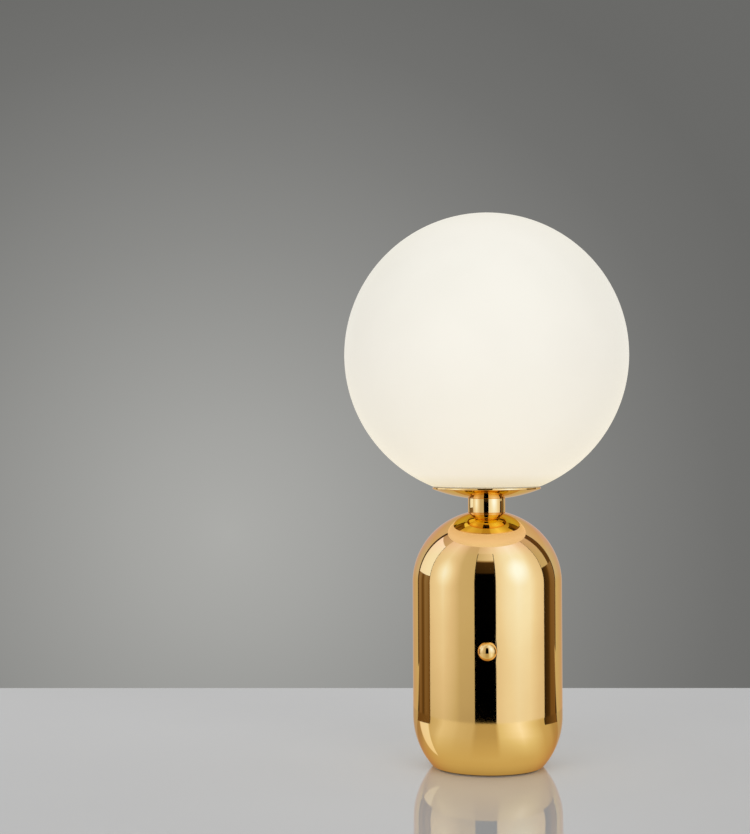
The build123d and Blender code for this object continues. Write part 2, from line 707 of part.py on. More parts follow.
with BuildPart() as bulb_housing:
    housing_foot_r = bulb_cap_r + BULB_CAP_WALL
    swell = (housing_foot_r + bulb_rim_r) / 2
    middle_z = (bulb_housing_z + bulb_rim_z) / 2
    inner_foot_r = housing_foot_r - BULB_HOUSING_WALL
    inner_rim_r = bulb_rim_r - BULB_HOUSING_WALL
    with BuildSketch(Plane.XZ):
        with BuildLine():
            ThreePointArc(
                (housing_foot_r, bulb_housing_z),
                (swell + BULB_RIM_STEP, middle_z),
                (bulb_rim_r, bulb_rim_z),
            )
            Polyline((bulb_rim_r, bulb_rim_z), (inner_rim_r, bulb_rim_z), (inner_rim_r, led_board_z))
            Polyline((inner_rim_r, led_board_z), (inner_rim_r - BULB_HOUSING_WALL, led_board_z))
            ThreePointArc(
                (inner_foot_r, bulb_housing_z),
                (swell + BULB_RIM_STEP - BULB_HOUSING_WALL - BULB_DOME_WALL, middle_z),
                (inner_rim_r - BULB_HOUSING_WALL, led_board_z),
            )
            Line((inner_foot_r, bulb_housing_z), (housing_foot_r, bulb_housing_z))
        make_face()
    revolve(axis=Axis.Z)
save(bulb_housing, "bulb_housing")

with BuildPart() as led_board:
    turn_ring(0, inner_rim_r - THREAD_CLEARANCE, led_board_z, LED_BOARD_THICKNESS)
save(led_board, "led_board")

with BuildPart() as led_chips:
    with BuildSketch(Plane.XY.offset(bulb_rim_z)):
        with PolarLocations(inner_rim_r / 2, LED_COUNT):
            Rectangle(LED_SIZE, LED_SIZE)
    extrude(amount=LED_HEIGHT)
save(led_chips, "led_chips")

with BuildPart() as bulb_dome:
    dome_inner_r = bulb_r - BULB_DOME_WALL
    inner_dome_rim_r = bulb_rim_r - BULB_DOME_WALL
    with BuildSketch(Plane.XZ):
        with BuildLine():
            TangentArc((bulb_r, bulb_centre_z), (bulb_rim_r, bulb_rim_z), tangent=(0, -1))
            CenterArc((0, bulb_centre_z), bulb_r, 0, 90)
            Line((0, bulb_top_z), (0, bulb_top_z - BULB_DOME_WALL))
            CenterArc((0, bulb_centre_z), dome_inner_r, 0, 90)
            Line((dome_inner_r, bulb_centre_z), (inner_dome_rim_r, bulb_rim_z))
            Line((inner_dome_rim_r, bulb_rim_z), (bulb_rim_r, bulb_rim_z))
        make_face()
    revolve(axis=Axis.Z)
save(bulb_dome, "bulb_dome")

# Push button: a round-nosed cap that slides in the shell's front hole
button_axis = Axis((0, 0, button_z), (0, 1, 0))
button_bore_r = button_r - BUTTON_WALL
boss_r = BUTTON_BOSS_DIAMETER / 2
grip_bore_r = plunger_r + PLUNGER_FIT
with BuildPart() as push_button:
    with BuildSketch(Plane.YZ):
        with BuildLine():
            ThreePointArc(
                (-dome_y, button_z + button_r),
                (-dome_y - button_r * waist, button_z + button_r * waist),
                (-dome_y - button_r, button_z),
            )
            Polyline(
                (-dome_y - button_r, button_z),
                (-plunger_tip_y - PLUNGER_FIT, button_z),
                (-plunger_tip_y - PLUNGER_FIT, button_z + grip_bore_r),
                (-button_end_y, button_z + grip_bore_r),
                (-button_end_y, button_z + boss_r),
                (-dome_y, button_z + boss_r),
                (-dome_y, button_z + button_bore_r),
                (-button_end_y, button_z + button_bore_r),
                (-button_end_y, button_z + button_r),
                (-dome_y, button_z + button_r),
            )
        make_face()
    revolve(axis=button_axis)
save(push_button, "push_button")

with BuildPart() as button_plunger:
    with BuildSketch(Plane.XZ.offset(plunger_end_y)):
        with Locations((0, button_z)):
            Circle(plunger_r)
    extrude(amount=plunger_tip_y - plunger_end_y)
save(button_plunger, "button_plunger")

# Return spring between the switch bush and the button, wound in quarter turns
spring_r = SPRING_DIAMETER / 2 - SPRING_WIRE / 2
spring_start_y = bush_front_y + SPRING_WIRE / 2 + SPRING_END_GAP
spring_pitch = (SPRING_LENGTH - SPRING_WIRE - 2 * SPRING_END_GAP) / SPRING_TURNS


def spring_point(eighths):
    angle = eighths * pi / 4
    depth = spring_start_y + spring_pitch * eighths / 8
    return Vector(spring_r * cos(angle), -depth, button_z + spring_r * sin(angle))


spring_points = [spring_point(eighths) for eighths in range(8 * SPRING_TURNS + 1)]
with BuildPart() as button_spring:
    with BuildLine() as winding:
        for start in range(0, 8 * SPRING_TURNS, 2):
            ThreePointArc(*spring_points[start:start + 3])
    with BuildSketch(Plane(origin=winding.line @ 0, z_dir=winding.line % 0)):
        Circle(SPRING_WIRE / 2)
    sweep(path=winding.line)
save(button_spring, "button_spring")
turn_gaps = [(near - far).length for near, far in zip(spring_points, spring_points[8:])]
print("least gap between the spring's turns", round(min(turn_gaps) - SPRING_WIRE, 2))

# Switch behind the button, carried by a bracket on the tie rod
with BuildPart() as switch_bush:
    with BuildSketch(Plane.XZ.offset(switch_front_y)):
        with Locations((0, button_z)):
            Circle(bush_r)
            Circle(plunger_bore_r, mode=Mode.SUBTRACT)
    extrude(amount=bush_front_y - switch_front_y)
save(switch_bush, "switch_bush")

with BuildPart() as switch_nut:
    with BuildSketch(Plane.XZ.offset(bracket_front_y)):
        with Locations((0, button_z)):
            RegularPolygon(bush_r + SWITCH_NUT_MARGIN / 2, 6, major_radius=False)
            Circle(bush_r + THREAD_CLEARANCE, mode=Mode.SUBTRACT)
    extrude(amount=SWITCH_NUT_HEIGHT)
save(switch_nut, "switch_nut")

with BuildPart() as switch_body:
    with BuildSketch(Plane.XZ.offset(switch_rear_y)):
        with Locations((0, button_z)):
            RectangleRounded(SWITCH_SIDE, SWITCH_SIDE, BRACKET_THICKNESS)
    extrude(amount=SWITCH_DEPTH)
    with BuildSketch(Plane.XZ.offset(plunger_pocket_y)):
        with Locations((0, button_z)):
            Circle(plunger_bore_r)
    extrude(amount=switch_front_y - plunger_pocket_y, mode=Mode.SUBTRACT)
save(switch_body, "switch_body")

tab_x = SWITCH_TAB_SPACING / 2
with BuildPart() as switch_terminals:
    with BuildSketch(Plane.XZ.offset(switch_rear_y)):
        with Locations((-tab_x, button_z), (tab_x, button_z)):
            Rectangle(SWITCH_TAB_WIDTH, SWITCH_TAB_THICKNESS)
    extrude(amount=-SWITCH_TAB_LENGTH)
save(switch_terminals, "switch_terminals")

with BuildPart() as switch_bracket:
    strap_end_y = rod_hole_r + BRACKET_TAIL
    with BuildSketch(Plane.XY.offset(bracket_z)):
        with Locations((0, (strap_end_y - bracket_front_y) / 2)):
            Rectangle(SWITCH_SIDE, strap_end_y + bracket_front_y)
        Circle(rod_hole_r, mode=Mode.SUBTRACT)
    extrude(amount=BRACKET_THICKNESS)
    with BuildSketch(Plane.XZ.offset(switch_front_y)):
        tab_height = button_z + SWITCH_SIDE / 2 - bracket_top_z
        with Locations((0, bracket_top_z + tab_height / 2)):
            Rectangle(SWITCH_SIDE, tab_height)
        with Locations((0, button_z)):
            Circle(bush_r + HOLE_CLEARANCE, mode=Mode.SUBTRACT)
    extrude(amount=BRACKET_THICKNESS)
save(switch_bracket, "switch_bracket")

with BuildPart() as earth_tag:
    with BuildSketch(Plane.XY.offset(bracket_top_z)):
        Circle(nut_flat_r)
        with Locations(((rod_r + EARTH_TAG_REACH) / 2, 0)):
            Rectangle(rod_r + EARTH_TAG_REACH, EARTH_TAG_WIDTH)
        Circle(rod_hole_r, mode=Mode.SUBTRACT)
    extrude(amount=EARTH_TAG_THICKNESS)
save(earth_tag, "earth_tag")

# Cord inlet at the back of the base
gland_end_y = shell_r - GLAND_INSIDE
with BuildPart() as cord_gland:
    with BuildSketch(Plane.XZ.offset(-gland_end_y)):
        with Locations((0, gland_z)):
            Circle(gland_r)
    extrude(amount=gland_end_y - base_r)
    with BuildSketch(Plane.XZ.offset(-base_r)):
        with Locations((0, gland_z)):
            Circle(gland_flange_r)
    extrude(amount=-GLAND_FLANGE_THICKNESS)
    with BuildSketch(Plane.XZ.offset(-gland_end_y)):
        with Locations((0, gland_z)):
            Circle(gland_bore_r)
    extrude(amount=gland_end_y - base_r - GLAND_FLANGE_THICKNESS, mode=Mode.SUBTRACT)
save(cord_gland, "cord_gland")

gland_nut_flat_r = gland_r + GLAND_NUT_MARGIN / 2
gland_nut_corner_r = gland_nut_flat_r / cos(pi / 6)
gland_nut_y = sqrt(shell_r ** 2 - gland_nut_corner_r ** 2) - THREAD_CLEARANCE
with BuildPart() as gland_nut:
    with BuildSketch(Plane.XZ.offset(-gland_nut_y)):
        with Locations((0, gland_z)):
            RegularPolygon(gland_nut_flat_r, 6, major_radius=False)
            Circle(gland_r + THREAD_CLEARANCE, mode=Mode.SUBTRACT)
    extrude(amount=GLAND_NUT_HEIGHT)
save(gland_nut, "gland_nut")

# Terminal block on the ballast, with its clamp and fixing screws
way_x = [BLOCK_PITCH * (way - (BLOCK_WAYS - 1) / 2) for way in range(BLOCK_WAYS)]
clamp_y = (block_middle_y - BLOCK_DEPTH / 4, block_middle_y + BLOCK_DEPTH / 4)
clamp_places = [(x, y) for x in way_x for y in clamp_y]
fixing_places = [(-BLOCK_PITCH / 2, block_middle_y), (BLOCK_PITCH / 2, block_middle_y)]
wire_level = ballast_top_z + BLOCK_HEIGHT / 2
clamp_r = CLAMP_SCREW_DIAMETER / 2
fixing_r = BLOCK_SCREW_DIAMETER / 2
with BuildPart() as terminal_block:
    with BuildSketch(Plane.XY.offset(ballast_top_z)):
        with Locations((0, block_middle_y)):
            Rectangle(BLOCK_LENGTH, BLOCK_DEPTH)
    extrude(amount=BLOCK_HEIGHT)
    with Locations(Plane.XY.offset(block_top_z)):
        with Locations(*clamp_places):
            Hole(clamp_r + THREAD_CLEARANCE, depth=CLAMP_SCREW_DEPTH)
        with Locations(*fixing_places):
            Hole(fixing_r + HOLE_CLEARANCE)
    with BuildSketch(Plane.XZ.offset(-block_front_y)):
        with Locations(*[(x, wire_level) for x in way_x]):
            Circle(wire_r + WIRE_CLEARANCE)
    extrude(amount=-BLOCK_DEPTH, mode=Mode.SUBTRACT)
save(terminal_block, "terminal_block")

with BuildPart() as terminal_screws:
    with BuildSketch(Plane.XY.offset(block_top_z - CLAMP_SCREW_DEPTH)):
        with Locations(*clamp_places):
            Circle(clamp_r)
    extrude(amount=CLAMP_SCREW_DEPTH + CLAMP_SCREW_PROUD)
save(terminal_screws, "terminal_screws")

with BuildPart() as block_screws:
    with BuildSketch(Plane.XY.offset(ballast_top_z - BLOCK_SCREW_REACH)):
        with Locations(*fixing_places):
            Circle(fixing_r)
    extrude(amount=BLOCK_SCREW_REACH + BLOCK_HEIGHT)
    with BuildSketch(Plane.XY.offset(block_top_z)):
        with Locations(*fixing_places):
            Circle(clamp_r)
    extrude(amount=BLOCK_HEAD_HEIGHT)
save(block_screws, "block_screws")

# Inner wires
lane_x = wire_r + WIRE_CLEARANCE / 2
side_x = SWITCH_SIDE / 2 + 2 * WIRE_DIAMETER
tab_top_z = button_z + SWITCH_TAB_THICKNESS / 2 + wire_r + WIRE_CLEARANCE
tab_end_y = -switch_rear_y + SWITCH_TAB_LENGTH
slot_entry_z = slot_z + ROD_SLOT_HEIGHT / 4
slot_inside_z = slot_z + ROD_SLOT_HEIGHT / 2
behind_rod_y = rod_r + 3 * WIRE_DIAMETER
above_rod_z = rod_top_z + WIRE_DIAMETER
terminal_wire_z = core_z - HOLDER_TERMINAL / 2 - wire_r - WIRE_CLEARANCE

with BuildPart() as line_wire:
    run_wire(
        (way_x[0], block_front_y + BLOCK_DEPTH / 4, wire_level),
        (way_x[0], block_front_y - 2 * WIRE_DIAMETER, wire_level),
        (-side_x, behind_rod_y - WIRE_DIAMETER, wire_level + 4 * WIRE_DIAMETER),
        (-side_x, tab_end_y + 2 * WIRE_DIAMETER, tab_top_z),
        (-tab_x, tab_end_y + 2 * WIRE_DIAMETER, tab_top_z),
        (-tab_x, -switch_rear_y + WIRE_CLEARANCE, tab_top_z),
    )
save(line_wire, "line_wire")

with BuildPart() as switched_wire:
    run_wire(
        (tab_x, -switch_rear_y + WIRE_CLEARANCE, tab_top_z),
        (tab_x, tab_end_y + 2 * WIRE_DIAMETER, tab_top_z),
        (side_x, tab_end_y + 3 * WIRE_DIAMETER, tab_top_z + 2 * WIRE_DIAMETER),
        (side_x, behind_rod_y, slot_z - 2 * WIRE_DIAMETER),
        (lane_x, behind_rod_y, slot_entry_z),
        (lane_x, 0, slot_inside_z + WIRE_DIAMETER),
        (lane_x, 0, above_rod_z),
        (terminal_x, 0, terminal_wire_z - WIRE_DIAMETER),
        (terminal_x, 0, terminal_wire_z + wire_r),
    )
save(switched_wire, "switched_wire")

with BuildPart() as neutral_wire:
    run_wire(
        (way_x[1], block_front_y + BLOCK_DEPTH / 4, wire_level),
        (way_x[1], behind_rod_y, wire_level),
        (-lane_x, behind_rod_y, slot_entry_z - 2 * WIRE_DIAMETER),
        (-lane_x, 0, slot_inside_z - WIRE_DIAMETER),
        (-lane_x, 0, above_rod_z),
        (-terminal_x, 0, terminal_wire_z - WIRE_DIAMETER),
        (-terminal_x, 0, terminal_wire_z + wire_r),
    )
save(neutral_wire, "neutral_wire")

tag_x = rod_r + EARTH_TAG_REACH - wire_r
with BuildPart() as earth_wire:
    run_wire(
        (way_x[2], block_front_y + BLOCK_DEPTH / 4, wire_level),
        (way_x[2], block_front_y - 2 * WIRE_DIAMETER, wire_level),
        (tag_x, 0, wire_level + 8 * WIRE_DIAMETER),
        (tag_x, 0, bracket_top_z - WIRE_CLEARANCE),
    )
save(earth_wire, "earth_wire")

print("height over all", round(globe_z + globe_r, 2), "globe centre", round(globe_z, 2))
print("foot curve ends", round(lower_equator_z, 2), "dome starts", round(upper_equator_z, 2))
print("bulb top", round(bulb_top_z, 2), "globe edge", round(globe_edge_z, 2))
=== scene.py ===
import bmesh
import bpy
import json
from math import asin, atan, degrees, pi, radians, sqrt
from mathutils import Euler, Matrix, Vector


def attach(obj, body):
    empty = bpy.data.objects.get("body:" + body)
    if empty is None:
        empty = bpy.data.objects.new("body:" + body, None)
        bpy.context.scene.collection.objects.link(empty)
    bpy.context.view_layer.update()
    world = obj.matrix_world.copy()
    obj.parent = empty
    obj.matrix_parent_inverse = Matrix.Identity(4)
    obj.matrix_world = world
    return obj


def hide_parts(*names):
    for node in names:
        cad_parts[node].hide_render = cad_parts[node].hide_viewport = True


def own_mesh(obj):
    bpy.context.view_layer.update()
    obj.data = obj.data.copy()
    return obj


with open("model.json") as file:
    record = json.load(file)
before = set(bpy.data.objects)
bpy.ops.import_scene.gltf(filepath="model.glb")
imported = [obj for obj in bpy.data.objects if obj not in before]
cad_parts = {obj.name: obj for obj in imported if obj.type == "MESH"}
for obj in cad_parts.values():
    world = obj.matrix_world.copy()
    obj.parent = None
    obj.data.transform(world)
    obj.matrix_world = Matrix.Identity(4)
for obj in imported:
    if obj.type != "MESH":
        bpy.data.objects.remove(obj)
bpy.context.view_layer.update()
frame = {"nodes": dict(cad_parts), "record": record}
bpy.context.scene.view_settings.view_transform = "Standard"

MM = 0.001

# Sizes of the lamp in millimetres, as the solids have them: radii, and heights over the table
BASE_R, BASE_WALL = 65.5, 2.5
DOME_RISE, FOOT_DROP = 63.3, 65.5
FOOT_Z, LOWER_EQUATOR_Z, UPPER_EQUATOR_Z = 1.0, 44.91, 161.31
DOME_SEAT_Z, NECK_TOP_Z, CUP_FLOOR_Z = 222.57, 235.17, 236.67
CUP_RIM_Z, GLOBE_EDGE_Z = 244.67, 245.67
GLOBE_R, GLOBE_WALL, GLOBE_Z = 125.0, 3.0, 361.19
BUTTON_Z, BUTTON_R = 108.9, 8.0
GLAND_Z, GLAND_R = 51.91, 4.9
ROD_HOLE_R, NECK_LAND_R = 5.2, 16.5
HOLDER_R, HOLDER_SEAM_Z = 20, 268.97
BULB_CAP_TOP_Z, BULB_SEAM_Z = 302.17, 340.17

# Angles past which an edge is shaded crisp, and past which it is a corner that can be rounded
CREASE, CORNER = 32, 35


class Outline:
    """A turned piece's section, drawn as (radius, height) in millimetres beside the axis."""

    def __init__(self, radius, height):
        self.mesh = bmesh.new()
        self.first = self.tip = self.mesh.verts.new((radius * MM, 0, height * MM))

    def to(self, *places):
        """Draws straight on to each place in turn."""
        for radius, height in places:
            corner = self.mesh.verts.new((radius * MM, 0, height * MM))
            self.mesh.edges.new((self.tip, corner))
            self.tip = corner
        return self

    def swing(self, angle, height, radius=0, steps=24, flatten=1.0):
        """Swings the tip about a centre, upwards where the angle is positive; flatten makes the arc an ellipse."""
        about = Matrix.Translation((0, 0, -height * MM))
        bmesh.ops.scale(self.mesh, vec=(1, 1, 1 / flatten), space=about, verts=[self.tip])
        before = set(self.mesh.verts) - {self.tip}
        swung = bmesh.ops.spin(
            self.mesh, geom=[self.tip], cent=(radius * MM, 0, height * MM), axis=(0, -1, 0),
            angle=radians(angle), steps=steps, use_merge=False, use_duplicate=False,
        )
        bmesh.ops.scale(
            self.mesh, vec=(1, 1, flatten), space=about,
            verts=[corner for corner in self.mesh.verts if corner not in before],
        )
        self.tip = next(made for made in swung["geom_last"] if isinstance(made, bmesh.types.BMVert))
        return self

    def turn(self, segments=128, closed=True):
        """Turns the section into a solid; one that begins and ends on the axis isn't closed first."""
        if closed:
            self.mesh.edges.new((self.tip, self.first))
        bmesh.ops.spin(
            self.mesh, geom=self.mesh.verts[:] + self.mesh.edges[:], cent=(0, 0, 0), axis=(0, 0, 1),
            angle=2 * pi, steps=segments, use_merge=True, use_duplicate=False,
        )
        bmesh.ops.remove_doubles(self.mesh, verts=self.mesh.verts[:], dist=0.002 * MM)
        bmesh.ops.recalc_face_normals(self.mesh, faces=self.mesh.faces[:])
        return self.mesh


def soften(mesh, width, segments=3, chosen=lambda edge: True):
    """Rounds the corners of a piece that pass the test."""
    corners = [
        edge for edge in mesh.edges
        if len(edge.link_faces) == 2 and edge.calc_face_angle() > radians(CORNER) and chosen(edge)
    ]
    bmesh.ops.bevel(
        mesh, geom=corners, offset=width * MM, offset_type="OFFSET", segments=segments, profile=0.5,
        affect="EDGES", clamp_overlap=True, material=-1,
    )
    return mesh


def lay_down(mesh, towards):
    """Tips a turned piece so that its height runs to the lamp's front (-1) or back (+1); 0 leaves it upright."""
    tipped = Matrix.Rotation(-towards * pi / 2, 3, "X")
    bmesh.ops.rotate(mesh, verts=mesh.verts[:], cent=(0, 0, 0), matrix=tipped)
    return mesh


def lift(mesh, height):
    bmesh.ops.translate(mesh, verts=mesh.verts[:], vec=(0, 0, height * MM))
    return mesh


def show(name, mesh, crease=CREASE):
    """Makes a mesh an object with smooth faces and crisp creases."""
    data = bpy.data.meshes.new(name)
    mesh.to_mesh(data)
    mesh.free()
    data.shade_smooth()
    data.set_sharp_from_angle(angle=radians(crease))
    shown = bpy.data.objects.new(name, data)
    bpy.context.scene.collection.objects.link(shown)
    return shown


def blank(name):
    """A new material with its node tree and its shader."""
    made = bpy.data.materials.new(name)
    made.use_nodes = True
    return made, made.node_tree, made.node_tree.nodes["Principled BSDF"]


def node(tree, kind, inputs=(), **settings):
    """Adds a node; inputs pairs each socket with a value or with the socket that feeds it."""
    added = tree.nodes.new(kind)
    for setting, value in settings.items():
        setattr(added, setting, value)
    for socket, value in inputs:
        if isinstance(value, bpy.types.NodeSocket):
            tree.links.new(value, added.inputs[socket])
        else:
            added.inputs[socket].default_value = value
    return added


def value_of(tree, operation, *values):
    return node(tree, "ShaderNodeMath", list(enumerate(values)), operation=operation).outputs["Value"]


def vector_of(tree, operation, *values, result="Vector"):
    return node(tree, "ShaderNodeVectorMath", list(enumerate(values)), operation=operation).outputs[result]


def object_place(tree):
    return node(tree, "ShaderNodeTexCoord").outputs["Object"]


def axes_of(tree, place):
    return node(tree, "ShaderNodeSeparateXYZ", [("Vector", place)]).outputs


def grain(tree, size, stretch=(1, 1, 1), detail=4.0):
    """Noise on the piece's own coordinates; size is that of its blotches in millimetres."""
    spread = node(tree, "ShaderNodeMapping", [("Vector", object_place(tree)), ("Scale", stretch)])
    return node(
        tree, "ShaderNodeTexNoise",
        [("Vector", spread.outputs["Vector"]), ("Scale", 1000 / size), ("Detail", detail), ("Roughness", 0.55)],
    ).outputs["Fac"]


def between(tree, factor, low, high, start=0.3, end=0.7):
    """A value or a colour that runs from low to high with a factor."""
    if isinstance(low, tuple):
        ramp = node(tree, "ShaderNodeValToRGB", [("Fac", factor)])
        ramp.color_ramp.elements[0].position, ramp.color_ramp.elements[1].position = start, end
        ramp.color_ramp.elements[0].color, ramp.color_ramp.elements[1].color = (*low, 1), (*high, 1)
        return ramp.outputs["Color"]
    return node(
        tree, "ShaderNodeMapRange",
        [("Value", factor), ("From Min", start), ("From Max", end), ("To Min", low), ("To Max", high)],
    ).outputs["Result"]


def steps_of(tree, factor, stops):
    """A ramp through several levels or colours at given places of the factor, which need not run from 0 to 1."""
    low, high = stops[0][0], stops[-1][0]
    share = between(tree, factor, 0.0, 1.0, low, high)
    ramp = node(tree, "ShaderNodeValToRGB", [("Fac", share)])
    marks = ramp.color_ramp.elements
    while len(marks) < len(stops):
        marks.new(0.5)
    for mark, (place, level) in zip(marks, stops):
        mark.position = (place - low) / (high - low)
        mark.color = (*level, 1) if isinstance(level, tuple) else (level, level, level, 1)
    return ramp.outputs["Color"]


def blend(tree, share, first, second):
    mix = node(tree, "ShaderNodeMix", [("Factor", share), ("A", first), ("B", second)], data_type="FLOAT")
    return mix.outputs["Result"]


def blend_colours(tree, share, first, second):
    """The same for colours, whose sockets the node keeps at these places in its lists."""
    return node(tree, "ShaderNodeMix", [(0, share), (6, first), (7, second)], data_type="RGBA").outputs[2]


def either(tree, share, first, second):
    """One shader where the share is 0 and the other where it is 1."""
    return node(tree, "ShaderNodeMixShader", [("Fac", share), (1, first), (2, second)]).outputs["Shader"]


def glow_of(tree, colour):
    return node(tree, "ShaderNodeEmission", [("Color", colour)]).outputs["Emission"]


def relief(tree, shader, height, strength, depth=0.1 * MM):
    bump = node(tree, "ShaderNodeBump", [("Height", height), ("Strength", strength), ("Distance", depth)])
    tree.links.new(bump.outputs["Normal"], shader.inputs["Normal"])


finishes = {}


def finish(name, dark, light, gloss, blotch=6.0, stretch=(1, 1, 1), metal=0.0, pores=0.0, pore_size=0.3, **sockets):
    """A procedural finish: colour and gloss vary with blotches, and fine pores give relief."""
    made, tree, shader = blank(name)
    blotches = grain(tree, blotch, stretch)
    tree.links.new(between(tree, blotches, dark, light), shader.inputs["Base Color"])
    tree.links.new(between(tree, blotches, gloss[1], gloss[0]), shader.inputs["Roughness"])
    shader.inputs["Metallic"].default_value = metal
    for socket, value in sockets.items():
        shader.inputs[socket.replace("_", " ")].default_value = value
    if pores:
        relief(tree, shader, grain(tree, pore_size, stretch, detail=2.0), pores)
    finishes[name] = made
    return made


# Finishes of the record's material slots: darker and lighter colour, range of gloss, size of the blotches
finish("zinc_steel", (0.52, 0.52, 0.50), (0.64, 0.64, 0.62), (0.28, 0.42), 5, metal=1, pores=0.15)
finish("spring_steel", (0.48, 0.49, 0.51), (0.60, 0.61, 0.63), (0.18, 0.30), 4, (1, 1, 6), metal=1, pores=0.1,
       pore_size=0.2)
finish("ballast_iron", (0.10, 0.10, 0.11), (0.19, 0.19, 0.20), (0.45, 0.65), 4, metal=0.8, pores=0.6, pore_size=0.8)
finish("gasket_rubber", (0.66, 0.65, 0.61), (0.74, 0.73, 0.69), (0.50, 0.62), 3, pores=0.1)
finish("holder_plastic", (0.74, 0.73, 0.69), (0.80, 0.79, 0.76), (0.34, 0.46), 8, pores=0.12)
finish("holder_ceramic", (0.66, 0.63, 0.56), (0.76, 0.73, 0.66), (0.55, 0.75), 2, pores=0.3)
finish("contact_brass", (0.58, 0.41, 0.16), (0.72, 0.54, 0.25), (0.22, 0.36), 3, metal=1, pores=0.1)
finish("cap_nickel", (0.60, 0.60, 0.59), (0.72, 0.72, 0.70), (0.16, 0.28), 4, metal=1, pores=0.05)
finish("cap_insulator", (0.02, 0.02, 0.024), (0.04, 0.04, 0.045), (0.10, 0.2), 3)
finish("bulb_plastic", (0.80, 0.80, 0.78), (0.85, 0.85, 0.83), (0.22, 0.32), 10, pores=0.04)
finish("bulb_opal", (0.84, 0.83, 0.79), (0.89, 0.88, 0.84), (0.36, 0.48), 12, pores=0.05)
finish("board_white", (0.72, 0.73, 0.71), (0.80, 0.80, 0.78), (0.35, 0.45), 3)
finish("emitter_yellow", (0.72, 0.50, 0.08), (0.82, 0.62, 0.14), (0.15, 0.25), 1)
finish("switch_plastic", (0.035, 0.035, 0.036), (0.06, 0.06, 0.06), (0.40, 0.55), 5, pores=0.2)
finish("gland_steel", (0.50, 0.50, 0.49), (0.62, 0.62, 0.60), (0.30, 0.42), 4, metal=1, pores=0.15)
finish("block_nylon", (0.66, 0.65, 0.59), (0.74, 0.73, 0.67), (0.42, 0.55), 4, pores=0.15)
finish("wire_brown", (0.11, 0.05, 0.025), (0.15, 0.07, 0.04), (0.34, 0.46), 3)
finish("wire_blue", (0.02, 0.07, 0.26), (0.035, 0.10, 0.34), (0.34, 0.46), 3)
finish("wire_green", (0.06, 0.22, 0.03), (0.46, 0.42, 0.03), (0.34, 0.46), 9, (1, 1, 0.3))
finish("felt", (0.018, 0.018, 0.018), (0.05, 0.05, 0.052), (0.9, 1.0), 1.2, pores=1.0, pore_size=0.25,
       Sheen_Weight=0.6, Sheen_Roughness=0.5)


def gold_finish():
    """Mirror-polished gold, yellower on the dish, with a redder band on the base's dome that is a painted reflection
    of the globe's warm glow.
    """
    made = finish("polished_gold", (0.91, 0.67, 0.27), (0.95, 0.71, 0.29), (0.035, 0.06), blotch=40, metal=1,
                  Specular_Tint=(0.92, 0.66, 0.58, 1))
    tree = made.node_tree
    colour = tree.nodes["Principled BSDF"].inputs["Base Color"]
    height = axes_of(tree, object_place(tree))["Z"]
    # Height bands: the redder one on the dome is a painted reflection of the glowing globe; the other is a yellower
    # tone on the dish
    plain, painted_glow_reflection, yellower = (1, 1, 1), (1.06, 0.93, 1.1), (1.0, 1.15, 0.5)
    tone_and_painted_reflection = steps_of(tree, height, (
        (0.188, plain), (0.2, painted_glow_reflection), (0.208, painted_glow_reflection), (0.216, plain), (0.2348, plain), (0.2354, yellower),
        (0.242, yellower), (0.243, plain), (0.246, plain)))
    tree.links.new(vector_of(tree, "MULTIPLY", colour.links[0].from_socket, tone_and_painted_reflection), colour)


def opal_finish():
    """Satin opal glass that glows softly as the lit lamp's globe; its rise towards the dish is painted light, warm
    bounce from the gold and fill that evens out the shading.
    """
    made, tree, shader = blank("opal_glass")
    clouds = grain(tree, 60, detail=2.0)
    tree.links.new(between(tree, clouds, (0.39, 0.385, 0.365), (0.41, 0.405, 0.385)), shader.inputs["Base Color"])
    tree.links.new(between(tree, clouds, 0.42, 0.48), shader.inputs["Roughness"])
    shader.inputs["Specular IOR Level"].default_value = 0.3
    height = axes_of(tree, object_place(tree))["Z"]
    # Glow by height: brighter and warmer low down, painted bounce light from the gold dish and painted fill against
    # the lamps' shading
    glow_and_painted_bounce = steps_of(tree, height, (
        (GLOBE_EDGE_Z * MM, (0.62, 0.54, 0.37)), (0.257, (0.70, 0.64, 0.52)), (0.30, (0.655, 0.612, 0.517)),
        (0.36, (0.585, 0.555, 0.485)), (0.43, (0.50, 0.48, 0.42)), (0.487, (0.45, 0.43, 0.38))))
    tree.links.new(glow_and_painted_bounce, shader.inputs["Emission Color"])
    shader.inputs["Emission Strength"].default_value = 1.0
    relief(tree, shader, grain(tree, 0.5, detail=2.0), 0.04)
    finishes["opal_glass"] = made


gold_finish()
opal_finish()

# Every solid takes the finish of its slot
for entry in frame["record"]["subparts"]:
    solid = frame["nodes"][entry["node"]]
    solid.data.materials.clear()
    solid.data.materials.append(finishes[entry["material_slot"]])


def pierce(shown, *drills):
    """Cuts holes through a piece with drills that are then thrown away."""
    for drill in drills:
        cut = shown.modifiers.new("hole", "BOOLEAN")
        cut.operation, cut.solver, cut.object = "DIFFERENCE", "EXACT", drill
    bpy.context.view_layer.update()
    bored = bpy.data.meshes.new_from_object(shown.evaluated_get(bpy.context.evaluated_depsgraph_get()))
    shown.modifiers.clear()
    shown.data = bored
    for drill in drills:
        bpy.data.objects.remove(drill)
    return shown


def drill_for(radius, near, far, towards, height):
    """A drill that cuts from near to far off the axis, towards the lamp's front or back, or upwards."""
    tool = bmesh.new()
    bmesh.ops.create_cone(
        tool, cap_ends=True, segments=96, radius1=radius * MM, radius2=radius * MM, depth=(far - near) * MM,
    )
    bmesh.ops.translate(tool, verts=tool.verts[:], vec=(0, 0, (near + far) / 2 * MM))
    return show("drill", lift(lay_down(tool, towards), height))


